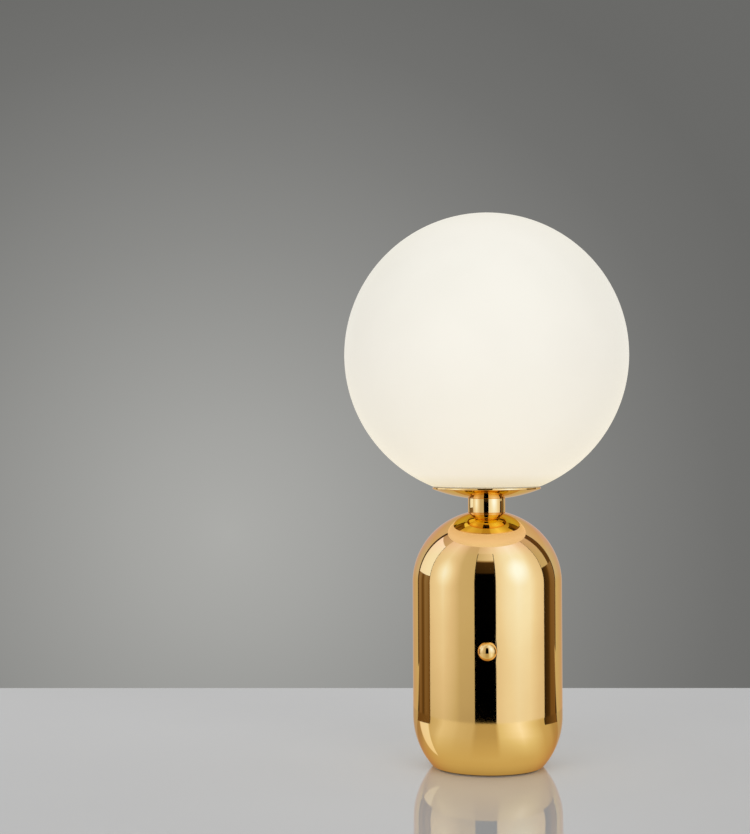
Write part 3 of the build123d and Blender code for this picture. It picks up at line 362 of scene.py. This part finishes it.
def base_shell():
    """The capsule: foot curve, straight wall, dome, flat land for the neck, and the same again inside."""
    inner_r, inner_rise, roof_z = BASE_R - BASE_WALL, DOME_RISE - BASE_WALL, DOME_SEAT_Z - BASE_WALL
    rebate_r, rebate_z, ledge_r, ledge_z = 46, 4, 43, 7.0
    ledge_drop = LOWER_EQUATOR_Z - ledge_z
    foot_sweep = degrees(asin((LOWER_EQUATOR_Z - FOOT_Z) / FOOT_DROP))
    ledge_sweep = degrees(asin(ledge_drop / inner_r))
    roof_sweep = degrees(asin((roof_z - UPPER_EQUATOR_Z) / inner_rise))
    dome_sweep = degrees(asin((DOME_SEAT_Z - UPPER_EQUATOR_Z) / DOME_RISE))
    section = Outline(BASE_R, LOWER_EQUATOR_Z).swing(-foot_sweep, LOWER_EQUATOR_Z, steps=40)
    section.to((rebate_r, FOOT_Z), (rebate_r, rebate_z), (ledge_r, rebate_z), (ledge_r, ledge_z))
    section.to((sqrt(inner_r ** 2 - ledge_drop ** 2), ledge_z)).swing(ledge_sweep, LOWER_EQUATOR_Z, steps=16)
    section.to((inner_r, UPPER_EQUATOR_Z))
    section.swing(roof_sweep, UPPER_EQUATOR_Z, steps=24, flatten=inner_rise / inner_r)
    section.to((ROD_HOLE_R, roof_z), (ROD_HOLE_R, DOME_SEAT_Z), (NECK_LAND_R, DOME_SEAT_Z))
    section.swing(-dome_sweep, UPPER_EQUATOR_Z, steps=64, flatten=DOME_RISE / BASE_R)
    wall_rings = (UPPER_EQUATOR_Z - 1.5, 125, BUTTON_Z - 16, 60, LOWER_EQUATOR_Z + 1.5)
    section.to(*[(BASE_R, height) for height in wall_rings])
    shell = show("gold_base_shell", soften(section.turn(256), 0.7, 4, lambda edge: edge.verts[0].co.z < 2 * MM))
    inside_wall, outside_wall, button_play, gland_play = 50, 80, 0.3, 0.2
    button_drill = drill_for(BUTTON_R + button_play, inside_wall, outside_wall, -1, BUTTON_Z)
    gland_drill = drill_for(GLAND_R + gland_play, inside_wall, outside_wall, 1, GLAND_Z)
    pierce(shell, button_drill, gland_drill)
    shell.data.set_sharp_from_angle(angle=radians(CREASE))
    return shell


def neck_collar():
    neck_r, hollow_r, hollow_top = 16.35, 12.35, NECK_TOP_Z - 4
    section = Outline(hollow_r, DOME_SEAT_Z)
    section.to((neck_r, DOME_SEAT_Z), (neck_r, NECK_TOP_Z), (ROD_HOLE_R, NECK_TOP_Z))
    section.to((ROD_HOLE_R, hollow_top), (hollow_r, hollow_top))
    return show("gold_neck", soften(section.turn(160), 0.3, 3))


def globe_cup():
    """The dish under the globe: a shallow spun bowl with an upright band and a rebate inside its lip."""
    bowl_z, outer_r, wall = 362.57, 128.46, 1.5
    inner_r = outer_r - wall
    band_r, lip_r, rebate_z, brim_r, floor_r = 47.65, 46.35, 243.47, 43.98, 16.37
    outer_sweep = degrees(asin(band_r / outer_r)) - degrees(asin(NECK_LAND_R / outer_r))
    inner_sweep = degrees(asin(floor_r / inner_r)) - degrees(asin(brim_r / inner_r))
    section = Outline(NECK_LAND_R, NECK_TOP_Z).swing(outer_sweep, bowl_z, steps=24)
    section.to((band_r, CUP_RIM_Z), (lip_r, CUP_RIM_Z), (lip_r, rebate_z), (brim_r, rebate_z))
    section.swing(inner_sweep, bowl_z, steps=12)
    section.to((ROD_HOLE_R, CUP_FLOOR_Z), (ROD_HOLE_R, NECK_TOP_Z))
    return show("gold_dish", soften(section.turn(224), 0.25, 3))


def push_button():
    """A round nose and a straight skirt, hollow but for the stem's boss; its height runs out from the axis."""
    nose, middle, skirt, stem_end = 77, 69, 61, 66.05
    hollow_r, boss_r, stem_r = 6.6, 3.6, 2.05
    section = Outline(0, nose).swing(-90, middle, steps=32)
    section.to((BUTTON_R, skirt), (hollow_r, skirt), (hollow_r, middle), (boss_r, middle), (boss_r, skirt))
    section.to((stem_r, skirt), (stem_r, stem_end), (0, stem_end))
    return show("gold_button", lift(lay_down(soften(section.turn(128, closed=False), 0.15, 2), -1), BUTTON_Z))


def button_spring():
    """Round wire wound from the switch's bush to the button."""
    wire_r, coil_r, near, far, turns = 0.3, 2.6, 51.4, 60.6, 5
    coil, steps = bmesh.new(), 48 * turns
    bmesh.ops.create_circle(coil, cap_ends=False, segments=12, radius=wire_r * MM)
    bmesh.ops.rotate(coil, verts=coil.verts[:], cent=(0, 0, 0), matrix=Matrix.Rotation(pi / 2, 3, "X"))
    bmesh.ops.translate(coil, verts=coil.verts[:], vec=(coil_r * MM, 0, near * MM))
    bmesh.ops.spin(
        coil, geom=coil.verts[:] + coil.edges[:], cent=(0, 0, 0), axis=(0, 0, 1), angle=2 * pi * turns,
        steps=steps, dvec=(0, 0, (far - near) * MM / steps), use_merge=False, use_duplicate=False,
    )
    bmesh.ops.holes_fill(coil, edges=[edge for edge in coil.edges if edge.is_boundary], sides=0)
    bmesh.ops.recalc_face_normals(coil, faces=coil.faces[:])
    return show("return_spring", lift(lay_down(coil, -1), BUTTON_Z), crease=60)


def cord_gland():
    bore_r, flange_r, inner_end, outer_end = 3.4, 6.5, 55, 67.5
    section = Outline(bore_r, inner_end).to((GLAND_R, inner_end), (GLAND_R, BASE_R), (flange_r, BASE_R))
    section.to((flange_r, outer_end), (bore_r, outer_end))
    return show("gold_cord_gland", lift(lay_down(soften(section.turn(96), 0.5, 4), 1), GLAND_Z))


def opal_globe():
    inner_r, edge_r, opening_r = GLOBE_R - GLOBE_WALL, 47.75, 41.0
    section = Outline(0, GLOBE_Z + GLOBE_R).swing(degrees(asin(edge_r / GLOBE_R)) - 180, GLOBE_Z, steps=112)
    section.to((opening_r, GLOBE_EDGE_Z), (opening_r, GLOBE_Z - sqrt(inner_r ** 2 - opening_r ** 2)))
    section.swing(180 - degrees(asin(opening_r / inner_r)), GLOBE_Z, steps=64)
    return show("opal_globe_glass", soften(section.turn(256, closed=False), 0.5, 3))


def felt_pad():
    hole_r, pad_r, thickness = 17, 43.8, 1.5
    section = Outline(hole_r, 0).to((pad_r, 0), (pad_r, thickness), (hole_r, thickness))
    return show("felt_foot_pad", soften(section.turn(128), 0.4, 2))


def globe_gasket():
    inner_r, outer_r = 41.2, 46.65
    section = Outline(inner_r, CUP_RIM_Z)
    section.to((outer_r, CUP_RIM_Z), (outer_r, GLOBE_EDGE_Z), (inner_r, GLOBE_EDGE_Z))
    return show("rubber_gasket", soften(section.turn(160), 0.3, 3))


def bulb_dome():
    """The diffuser: a half ball on a rim that draws in on a wide curve, and a plainer hollow inside."""
    centre_z, bulb_r, curve_r, inner_r, inner_rim_r = 356.17, 30.0, 107.27, 28.5, 27.3
    rim_sweep = degrees(asin((centre_z - BULB_SEAM_Z) / curve_r))
    section = Outline(0, centre_z + bulb_r).swing(-90, centre_z, steps=40)
    section.swing(-rim_sweep, centre_z, bulb_r - curve_r, steps=8)
    section.to((inner_rim_r, BULB_SEAM_Z), (inner_r, centre_z)).swing(90, centre_z, steps=24)
    return show("bulb_diffuser", section.turn(128, closed=False))


def bulb_housing():
    """Flares from the screw cap to the seam; both of its curves have their centres far out on the other side."""
    foot_r, rim_r, shelf_r, shelf_z = 13.6, 26.8, 24.8, 338.57
    outer_sweep, outer_z, outer_x = 12.472, 390.72, -152.683
    inner_sweep, inner_z, inner_x = -4.573, 485.666, -437.617
    section = Outline(foot_r, BULB_CAP_TOP_Z).swing(outer_sweep, outer_z, outer_x, steps=24)
    section.to((rim_r, BULB_SEAM_Z), (rim_r, shelf_z), (shelf_r, shelf_z))
    section.swing(inner_sweep, inner_z, inner_x, steps=12)
    return show("bulb_body", soften(section.turn(128), 0.3, 3))


def bulb_cap():
    """Screw cap: a wave of wall that climbs a pitch in each turn, cut level and bored out from above."""
    low, high, crest_r, depth, pitch, wall, steps = 283.17, BULB_CAP_TOP_Z, 13.0, 0.9, 3.62, 0.6, 96
    wave = ((0.18, 0.8), (0.34, 0.2), (0.5, 0), (0.66, 0.2), (0.82, 0.8), (1, 1))
    section = Outline(crest_r - depth, low - 2 * pitch)
    for turn in range(-2, int((high - low) / pitch) + 1):
        section.to(*[(crest_r - depth * dip, low + pitch * (turn + climb)) for climb, dip in wave])
    thread = section.mesh
    bmesh.ops.spin(
        thread, geom=thread.verts[:] + thread.edges[:], cent=(0, 0, 0), axis=(0, 0, 1), angle=2 * pi, steps=steps,
        dvec=(0, 0, pitch * MM / steps), use_merge=False, use_duplicate=False,
    )
    bmesh.ops.remove_doubles(thread, verts=thread.verts[:], dist=0.01 * MM)
    for level, side in ((low, -1), (high, 1)):
        cut = bmesh.ops.bisect_plane(
            thread, geom=thread.verts[:] + thread.edges[:] + thread.faces[:], dist=1e-7,
            plane_co=(0, 0, level * MM), plane_no=(0, 0, side), clear_outer=True,
        )
        rim = [made for made in cut["geom_cut"] if isinstance(made, bmesh.types.BMEdge)]
        bmesh.ops.edgeloop_fill(thread, edges=rim)
    bmesh.ops.recalc_face_normals(thread, faces=thread.faces[:])
    cap = pierce(show("bulb_screw_cap", thread), drill_for(crest_r - depth - wall, low + wall, high + 1, 0, 0))
    cap.data.set_sharp_from_angle(angle=radians(60))
    return cap


def holder_cap():
    """A cone with a collar for the skirt, hollow round the hub that the tie rod screws into."""
    rod_r, hub_r, hollow_r, collar_r = 5.05, 8.05, 16.4, 18.2
    low_z, cone_z, wall_z = 248.97, 258.17, 259.97
    hollow_low_z, hub_z, hollow_top_z, shelf_z = 252.57, 257.97, 260.87, 265.97
    section = Outline(rod_r, low_z).to((hub_r, low_z), (collar_r, cone_z), (HOLDER_R, wall_z))
    section.to((HOLDER_R, HOLDER_SEAM_Z), (collar_r, HOLDER_SEAM_Z), (collar_r, shelf_z), (hollow_r, shelf_z))
    section.to((hollow_r, hollow_top_z), (hub_r, hollow_low_z), (hub_r, hub_z), (rod_r, hub_z))
    return show("lampholder_cap", soften(section.turn(128), 0.4, 3))


def holder_skirt():
    bore_r, lip_r, lip_z, top_z = 15.4, 14.5, 299.17, 300.97
    section = Outline(bore_r, HOLDER_SEAM_Z).to((HOLDER_R, HOLDER_SEAM_Z), (HOLDER_R, top_z))
    section.to((lip_r, top_z), (lip_r, lip_z), (bore_r, lip_z))
    return show("lampholder_skirt", soften(section.turn(128), 0.4, 4))


def fit(shown, node, slot, body):
    """Puts a finished piece in the place of its solid."""
    shown.data.materials.clear()
    shown.data.materials.append(finishes[slot])
    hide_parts(node)
    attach(shown, body)
    return shown


polished = [
    fit(base_shell(), "base_shell", "polished_gold", "stand"),
    fit(neck_collar(), "neck_collar", "polished_gold", "stand"),
    fit(globe_cup(), "globe_cup", "polished_gold", "stand"),
    fit(cord_gland(), "cord_gland", "polished_gold", "stand"),
    fit(push_button(), "push_button", "polished_gold", "button"),
]
fit(opal_globe(), "opal_globe", "opal_glass", "globe")
fit(globe_gasket(), "globe_gasket", "gasket_rubber", "stand")
fit(holder_cap(), "holder_cap", "holder_plastic", "stand")
fit(holder_skirt(), "holder_skirt", "holder_plastic", "stand")
fit(bulb_dome(), "bulb_dome", "bulb_opal", "bulb")
fit(bulb_housing(), "bulb_housing", "bulb_plastic", "bulb")
screw_cap = fit(bulb_cap(), "bulb_cap", "cap_nickel", "bulb")
spring = fit(button_spring(), "button_spring", "spring_steel", "stand")
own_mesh(spring)
pad = fit(felt_pad(), "felt_pad", "felt", "stand")

# Camera at the photograph's place: before the lamp, level with the low part of the globe, and turned a little
# upwards and to the left, so that the lamp stands right of the middle
FOCAL_PIXELS, FRAME_PIXELS, SENSOR = 1640, 834, 36
PIXELS_UP, PIXELS_LEFT, ROLL = 29.45, 111.2, -0.226
CAMERA_Y, CAMERA_Z = -1.45, 0.281
camera = bpy.data.objects.new("camera", bpy.data.cameras.new("camera"))
bpy.context.scene.collection.objects.link(camera)
camera.data.sensor_width = SENSOR
camera.data.lens = SENSOR * (FOCAL_PIXELS / FRAME_PIXELS)
camera.location = (0, CAMERA_Y, CAMERA_Z)
aim = Euler((radians(90) + atan(PIXELS_UP / FOCAL_PIXELS), 0, atan(PIXELS_LEFT / FOCAL_PIXELS))).to_matrix()
camera.rotation_euler = (aim @ Matrix.Rotation(radians(ROLL), 3, "Z")).to_euler()
bpy.context.scene.camera = camera

# The studio's sizes in metres: the ring of light panels, where the flags' shade begins on the table, and a spot
PANEL_RING_R, FLAG_SHADE_R, SPOT_R = 0.35, 0.27, 0.17

# Tints of the light that the polish shows, by its level: warm where dim, cool where strong
PANEL_TINTS = (
    (0.0, (0, 0, 0)), (0.19, (0.19, 0.105, 0.04)), (0.6, (0.6, 0.52, 0.43)), (0.8, (0.80, 0.72, 0.74)),
    (0.9, (0.90, 0.87, 0.98)), (1.0, (1.0, 1.09, 1.48)), (1.12, (1.08, 1.37, 2.5)))
TABLE_TINTS = (
    (0.0, (0, 0, 0)), (0.45, (0.46, 0.345, 0.18)), (0.6, (0.62, 0.49, 0.285)), (0.8, (0.8, 0.72, 0.53)),
    (1.05, (1.05, 1.0, 1.06)))


def bearing_of(tree, place):
    """Degrees round from the front, to the right where positive."""
    axes = axes_of(tree, place)
    forward = value_of(tree, "MULTIPLY", axes["Y"], -1.0)
    return value_of(tree, "DEGREES", value_of(tree, "ARCTAN2", axes["X"], forward))


def table_colour_and_painted_light(tree, place):
    """Pale, with painted light: lighter on the left and towards the back, and lighter round the foot, where painted
    light fills in the lamp's shadow.
    """
    axes = axes_of(tree, place)
    # Painted light: lighter on the left, towards the back and round the foot, where it fills in the lamp's shadow;
    # the clouds are the top's own tone
    white = steps_of(tree, axes["X"], (
        (-0.45, 0.49), (-0.15, 0.52), (-0.05, 0.525), (0.09, 0.49), (0.25, 0.455)))
    painted_light_to_back = steps_of(tree, axes["Y"], ((-0.3, 0.95), (0.0, 1.0), (0.2, 1.05)))
    from_foot = vector_of(tree, "DISTANCE", place, (0, 0.05, 0), result="Value")
    painted_light_round_foot = steps_of(tree, from_foot, ((0.05, 1.22), (0.09, 1.16), (0.13, 1.09), (0.2, 1.03), (0.35, 1.0)))
    clouds = between(tree, grain(tree, 400, detail=2.0), 0.98, 1.02)
    for share in (painted_light_to_back, painted_light_round_foot, clouds):
        white = vector_of(tree, "MULTIPLY", white, share)
    return white


def table_in_polish(tree, place):
    """The top as the lamp's polish shows it, in painted light: lit inside the panels, painted shade before the flags,
    rear light beyond.
    """
    reach = vector_of(tree, "LENGTH", vector_of(tree, "MULTIPLY", place, (1, 1, 0)), result="Value")
    turned = bearing_of(tree, place)

    # Levels by bearing, far from the lamp and near it, a painted bright wedge on the left, and painted shade under
    # the foot's edge
    far_level = steps_of(tree, turned, (
        (-105, 0.42), (-88, 0.62), (-76, 0.67), (-65, 0.82), (-46, 0.73), (-38, 0.66), (-20, 0.62), (-15, 0.5),
        (10, 0.5), (15, 0.78), (44, 1.06), (62, 0.84), (80, 0.61), (95, 0.57), (105, 0.46)))
    near_level = steps_of(tree, turned, ((-90, 0.55), (-60, 0.62), (60, 0.62), (90, 0.53)))
    outward = steps_of(tree, reach, ((0.067, 0.0), (0.083, 0.25), (0.105, 0.55), (0.14, 0.9), (0.2, 1.0)))
    level = blend(tree, outward, near_level, far_level)
    from_wedge_tip = vector_of(tree, "ADD", place, (0.06, 0.032, 0))
    painted_wedge_light = steps_of(tree, bearing_of(tree, from_wedge_tip), (
        (-180, 0.0), (-132, 0.0), (-129, 1.0), (-103, 1.0), (-100, 0.0), (180, 0.0)))
    level = blend(tree, painted_wedge_light, level, 0.94)
    # Painted shade on the top where it meets the foot
    contact = steps_of(tree, reach, ((0.049, 0.72), (0.053, 0.86), (0.058, 0.95), (0.066, 1.0)))
    level = value_of(tree, "MULTIPLY", level, contact)

    # Tints: cooler on the far left, and that of the rear light behind the lamp
    cool_side = steps_of(tree, turned, ((-90, 0.6), (-20, 0.6), (-12, 0.2), (60, 0.2)))
    cool = value_of(tree, "MULTIPLY", cool_side, outward)
    rearward = steps_of(tree, turned, (
        (-180, 1.0), (-129, 1.0), (-123, 0.0), (118, 0.0), (124, 1.0), (180, 1.0)))
    tinted = blend_colours(tree, cool, steps_of(tree, level, TABLE_TINTS), steps_of(tree, level, PANEL_TINTS))
    tinted = blend_colours(tree, rearward, tinted, (0.55, 0.53, 0.42, 1))

    # Shade before the flags at the sides, and what lies past the ring of panels
    flagged = steps_of(tree, turned, (
        (-180, 0.0), (-125, 0.0), (-124, 0.15), (-91.8, 0.18), (-90.3, 0.0), (88.5, 0.0), (90, 0.06), (119, 0.2),
        (120, 0.0), (180, 0.0)))
    shaded = steps_of(tree, flagged, PANEL_TINTS)
    rear = (0.64, 0.6, 0.46)
    behind = steps_of(tree, turned, (
        (-180, rear), (-127, rear), (-125.5, 0.0), (121.5, 0.0), (122.5, rear), (180, rear)))
    lit_r = blend(tree, value_of(tree, "GREATER_THAN", flagged, 0.001), PANEL_RING_R, FLAG_SHADE_R)
    past_light = value_of(tree, "GREATER_THAN", reach, lit_r)
    past_panels = value_of(tree, "GREATER_THAN", reach, PANEL_RING_R)
    inside = either(tree, past_light, glow_of(tree, tinted), glow_of(tree, shaded))
    return either(tree, past_panels, inside, glow_of(tree, behind))


def table_finish():
    """Pale glossy top, with painted light and shade that only the lamp's polish shows."""
    made, tree, shader = blank("table_white")
    place = object_place(tree)
    tree.links.new(table_colour_and_painted_light(tree, place), shader.inputs["Base Color"])
    shader.inputs["Roughness"].default_value = 0.03
    shader.inputs["IOR"].default_value = 2.0
    in_polish = node(tree, "ShaderNodeLightPath").outputs["Is Glossy Ray"]
    shown = either(tree, in_polish, shader.outputs["BSDF"], table_in_polish(tree, place))
    tree.links.new(shown, tree.nodes["Material Output"].inputs["Surface"])
    made.cycles.emission_sampling = "NONE"
    return made


def table_top():
    """A slab whose rear edge runs a little askew behind the lamp."""
    width, depth, thickness, edge, rear_y, askew = 4.4, 2.9, 0.03, 0.0005, 0.4644, 2.366
    slab = bmesh.new()
    bmesh.ops.create_cube(slab, size=1)
    bmesh.ops.scale(slab, vec=(width, depth, thickness), verts=slab.verts[:])
    bmesh.ops.translate(slab, verts=slab.verts[:], vec=(0, -depth / 2, -thickness / 2))
    bmesh.ops.bevel(
        slab, geom=slab.edges[:], offset=edge, offset_type="OFFSET", segments=2, profile=0.5, affect="EDGES",
        material=-1,
    )
    bmesh.ops.rotate(slab, verts=slab.verts[:], cent=(0, 0, 0), matrix=Matrix.Rotation(radians(askew), 3, "Z"))
    bmesh.ops.translate(slab, verts=slab.verts[:], vec=(0, rear_y, 0))
    table = show("table_top", slab, crease=5)
    table.data.materials.append(table_finish())


table_top()

# Curved light panels round the lamp that show only in its polish, and one more for its bare metal
bare_slots = ("zinc_steel", "spring_steel", "contact_brass", "cap_nickel", "gland_steel")
bare = [screw_cap, spring] + [
    frame["nodes"][entry["node"]] for entry in frame["record"]["subparts"] if entry["material_slot"] in bare_slots
]
polish, bare_metal = bpy.data.collections.new("polished_pieces"), bpy.data.collections.new("bare_metal_pieces")
for group, pieces in ((polish, polished), (bare_metal, bare)):
    for piece in pieces:
        group.objects.link(piece)


def panel_glow(name, across, upward, tints, spot, spot_level):
    """Light of a panel: levels by bearing and by height, and a brighter round spot."""
    made, tree, _ = blank(name)
    tree.nodes.clear()
    place = object_place(tree)
    height = axes_of(tree, place)["Z"]
    level = value_of(
        tree, "MULTIPLY", steps_of(tree, bearing_of(tree, place), across), steps_of(tree, height, upward))
    if spot is not None:
        away = vector_of(tree, "DISTANCE", place, spot, result="Value")
        bright = node(
            tree, "ShaderNodeMapRange",
            [("Value", away), ("From Min", 0.0), ("From Max", SPOT_R), ("To Min", spot_level), ("To Max", 0.0)],
            interpolation_type="SMOOTHSTEP",
        ).outputs["Result"]
        level = value_of(tree, "ADD", level, bright)
    clear = node(tree, "ShaderNodeBsdfTransparent").outputs["BSDF"]
    both = node(tree, "ShaderNodeAddShader", [(0, glow_of(tree, steps_of(tree, level, tints))), (1, clear)])
    node(tree, "ShaderNodeOutputMaterial", [("Surface", both.outputs["Shader"])])
    made.cycles.emission_sampling = "NONE"
    return made


def on_ring(angle, height):
    """The place on the ring of panels at a bearing from the front."""
    return Matrix.Rotation(radians(angle), 3, "Z") @ Vector((0, -PANEL_RING_R, height))


def light_panel(name, across, upward, spot=None, spot_level=0.0, shown_in=polish, tints=PANEL_TINTS):
    """Hangs a panel from the first to the last of its bearings and of its heights, each given with a level."""
    (start, _), (end, _), (low, _), (high, _) = across[0], across[-1], upward[0], upward[-1]
    sheet = bmesh.new()
    foot, top = sheet.verts.new(on_ring(start, low)), sheet.verts.new(on_ring(start, high))
    bmesh.ops.spin(
        sheet, geom=[foot, top, sheet.edges.new((foot, top))], cent=(0, 0, 0), axis=(0, 0, 1),
        angle=radians(end - start), steps=32, use_merge=False, use_duplicate=False,
    )
    panel = show(name, sheet)
    panel.data.materials.append(panel_glow(name + "_light", across, upward, tints, spot, spot_level))
    panel.visible_camera = panel.visible_diffuse = panel.visible_shadow = panel.visible_transmission = False
    panel.light_linking.receiver_collection = shown_in


light_panel(
    "left_panel",
    ((-90.5, 0.82), (-80, 0.86), (-65, 0.91), (-53, 0.82), (-46, 0.75), (-38, 0.63), (-17.6, 0.61)),
    ((0.0, 0.79), (0.02, 0.85), (0.06, 0.93), (0.12, 1.0), (1.2, 1.0)),
    on_ring(-61, 0.251), 0.15)
light_panel(
    "right_panel",
    ((12.1, 0.88), (28, 0.97), (44, 1.02), (62, 0.99), (77, 0.87), (88.7, 0.81)),
    ((0.0, 0.9), (0.06, 0.93), (0.12, 1.0), (1.2, 1.0)),
    on_ring(46, 0.288), 0.12)
light_panel(
    "front_header",
    ((-16.6, 0.62), (11.1, 0.85)),
    ((0.263, 0.0), (0.28, 0.05), (0.395, 0.08), (0.43, 1.0), (0.55, 1.0)))
light_panel("front_top", ((-17.6, 0.7), (12.1, 0.9)), ((0.55, 1.0), (1.2, 1.0)))
light_panel("left_post", ((-124.5, 0.06), (-121, 0.06)), ((0.0, 1.0), (1.2, 1.0)))
light_panel(
    "left_flag",
    ((-121, 0.25), (-114.5, 0.28), (-108, 0.11), (-102, 0.27), (-95, 0.24), (-90.5, 0.15)),
    ((0.0, 0.8), (0.2, 1.1)))
light_panel("left_quad", ((-121, 0.98), (-91.2, 1.0)), ((0.2, 1.0), (0.48, 1.0)))
light_panel("left_top", ((-121, 0.5), (-90.5, 0.6)), ((0.48, 1.0), (1.2, 1.0)))
light_panel("right_flag", ((88.7, 0.03), (100, 0.08), (105, 0.22), (117.5, 0.25)), ((0.0, 0.8), (0.26, 1.1)))
light_panel("right_quad", ((89.4, 0.58), (108, 0.62)), ((0.26, 1.0), (1.2, 1.0)))
light_panel("right_post", ((108, 0.1), (119.5, 0.12)), ((0.26, 1.0), (1.2, 1.0)))
light_panel(
    "metal_surround",
    ((-180, 0.5), (-130, 0.25), (-95, 0.3), (-85, 0.75), (-30, 0.65), (-18, 0.15), (12, 0.15), (24, 0.85),
     (85, 0.7), (95, 0.25), (130, 0.3), (180, 0.5)),
    ((0.0, 0.8), (0.3, 1.0), (1.2, 1.0)),
    shown_in=bare_metal, tints=((0.0, (0, 0, 0)), (1.0, (1, 1, 1))))


def soft_light(name, place, size, power, aim_at=(0, 0, 0.2)):
    """A large soft lamp for the plain light on the table, the glass and the plastic."""
    lamp = bpy.data.lights.new(name, "AREA")
    lamp.size, lamp.energy = size, power
    hung = bpy.data.objects.new(name, lamp)
    hung.location = place
    hung.rotation_euler = (Vector(aim_at) - Vector(place)).to_track_quat("-Z", "Y").to_euler()
    hung.visible_camera = hung.visible_glossy = False
    bpy.context.scene.collection.objects.link(hung)


soft_light("overhead_light", (0, -0.4, 2.2), 2.4, 16)
soft_light("front_left_light", (-1.3, -2.4, 1.3), 1.8, 20)
soft_light("front_right_light", (1.3, -2.4, 1.3), 1.8, 20)


def studio_world():
    """Warm grey backdrop, brightest low on the left, a rear light for the polish and an even light from all round."""
    world = bpy.data.worlds.new("studio")
    bpy.context.scene.world = world
    world.use_nodes = True
    tree = world.node_tree
    tree.nodes.clear()
    path = node(tree, "ShaderNodeLightPath").outputs
    direction = node(tree, "ShaderNodeTexCoord").outputs["Generated"]

    # Backdrop: grey that falls off round its brightest place
    brightest, blue_share = (-0.1562, 0.9863, -0.0523), 0.96
    away = vector_of(tree, "DISTANCE", direction, brightest, result="Value")
    shades = (
        (0.0, 0.416), (0.06, 0.373), (0.18, 0.257), (0.24, 0.207), (0.30, 0.165), (0.36, 0.143), (1.0, 0.14))
    backdrop = steps_of(tree, away, [(place, (shade, shade, blue_share * shade)) for place, shade in shades])
    wall = node(tree, "ShaderNodeBackground", [("Color", backdrop), ("Strength", 1.0)])

    # Rear light: a wide sector behind the lamp, grey where the table mirrors it and warm elsewhere
    heading, full_strength, outer_edge, inner_edge = (0.0471, 0.9989, 0), 0.64, 0.658, 0.672
    level_way = vector_of(tree, "NORMALIZE", vector_of(tree, "MULTIPLY", direction, (1, 1, 0)))
    rearward = vector_of(tree, "DOT_PRODUCT", level_way, heading, result="Value")
    strength = between(tree, rearward, 0.0, full_strength, outer_edge, inner_edge)
    warm, grey = (1, 0.94, 0.72), (1, 1, 1)
    tint = steps_of(
        tree, axes_of(tree, direction)["Z"], ((-0.05, warm), (0.05, grey), (0.3, grey), (0.4, warm)))
    rear = node(tree, "ShaderNodeBackground", [("Color", tint), ("Strength", strength)])

    even = node(tree, "ShaderNodeBackground", [("Color", (1, 1, 1, 1)), ("Strength", 0.45)])
    lit = either(tree, path["Is Glossy Ray"], even.outputs["Background"], rear.outputs["Background"])
    seen = either(tree, path["Is Camera Ray"], lit, wall.outputs["Background"])
    node(tree, "ShaderNodeOutputWorld", [("Surface", seen)])


studio_world()
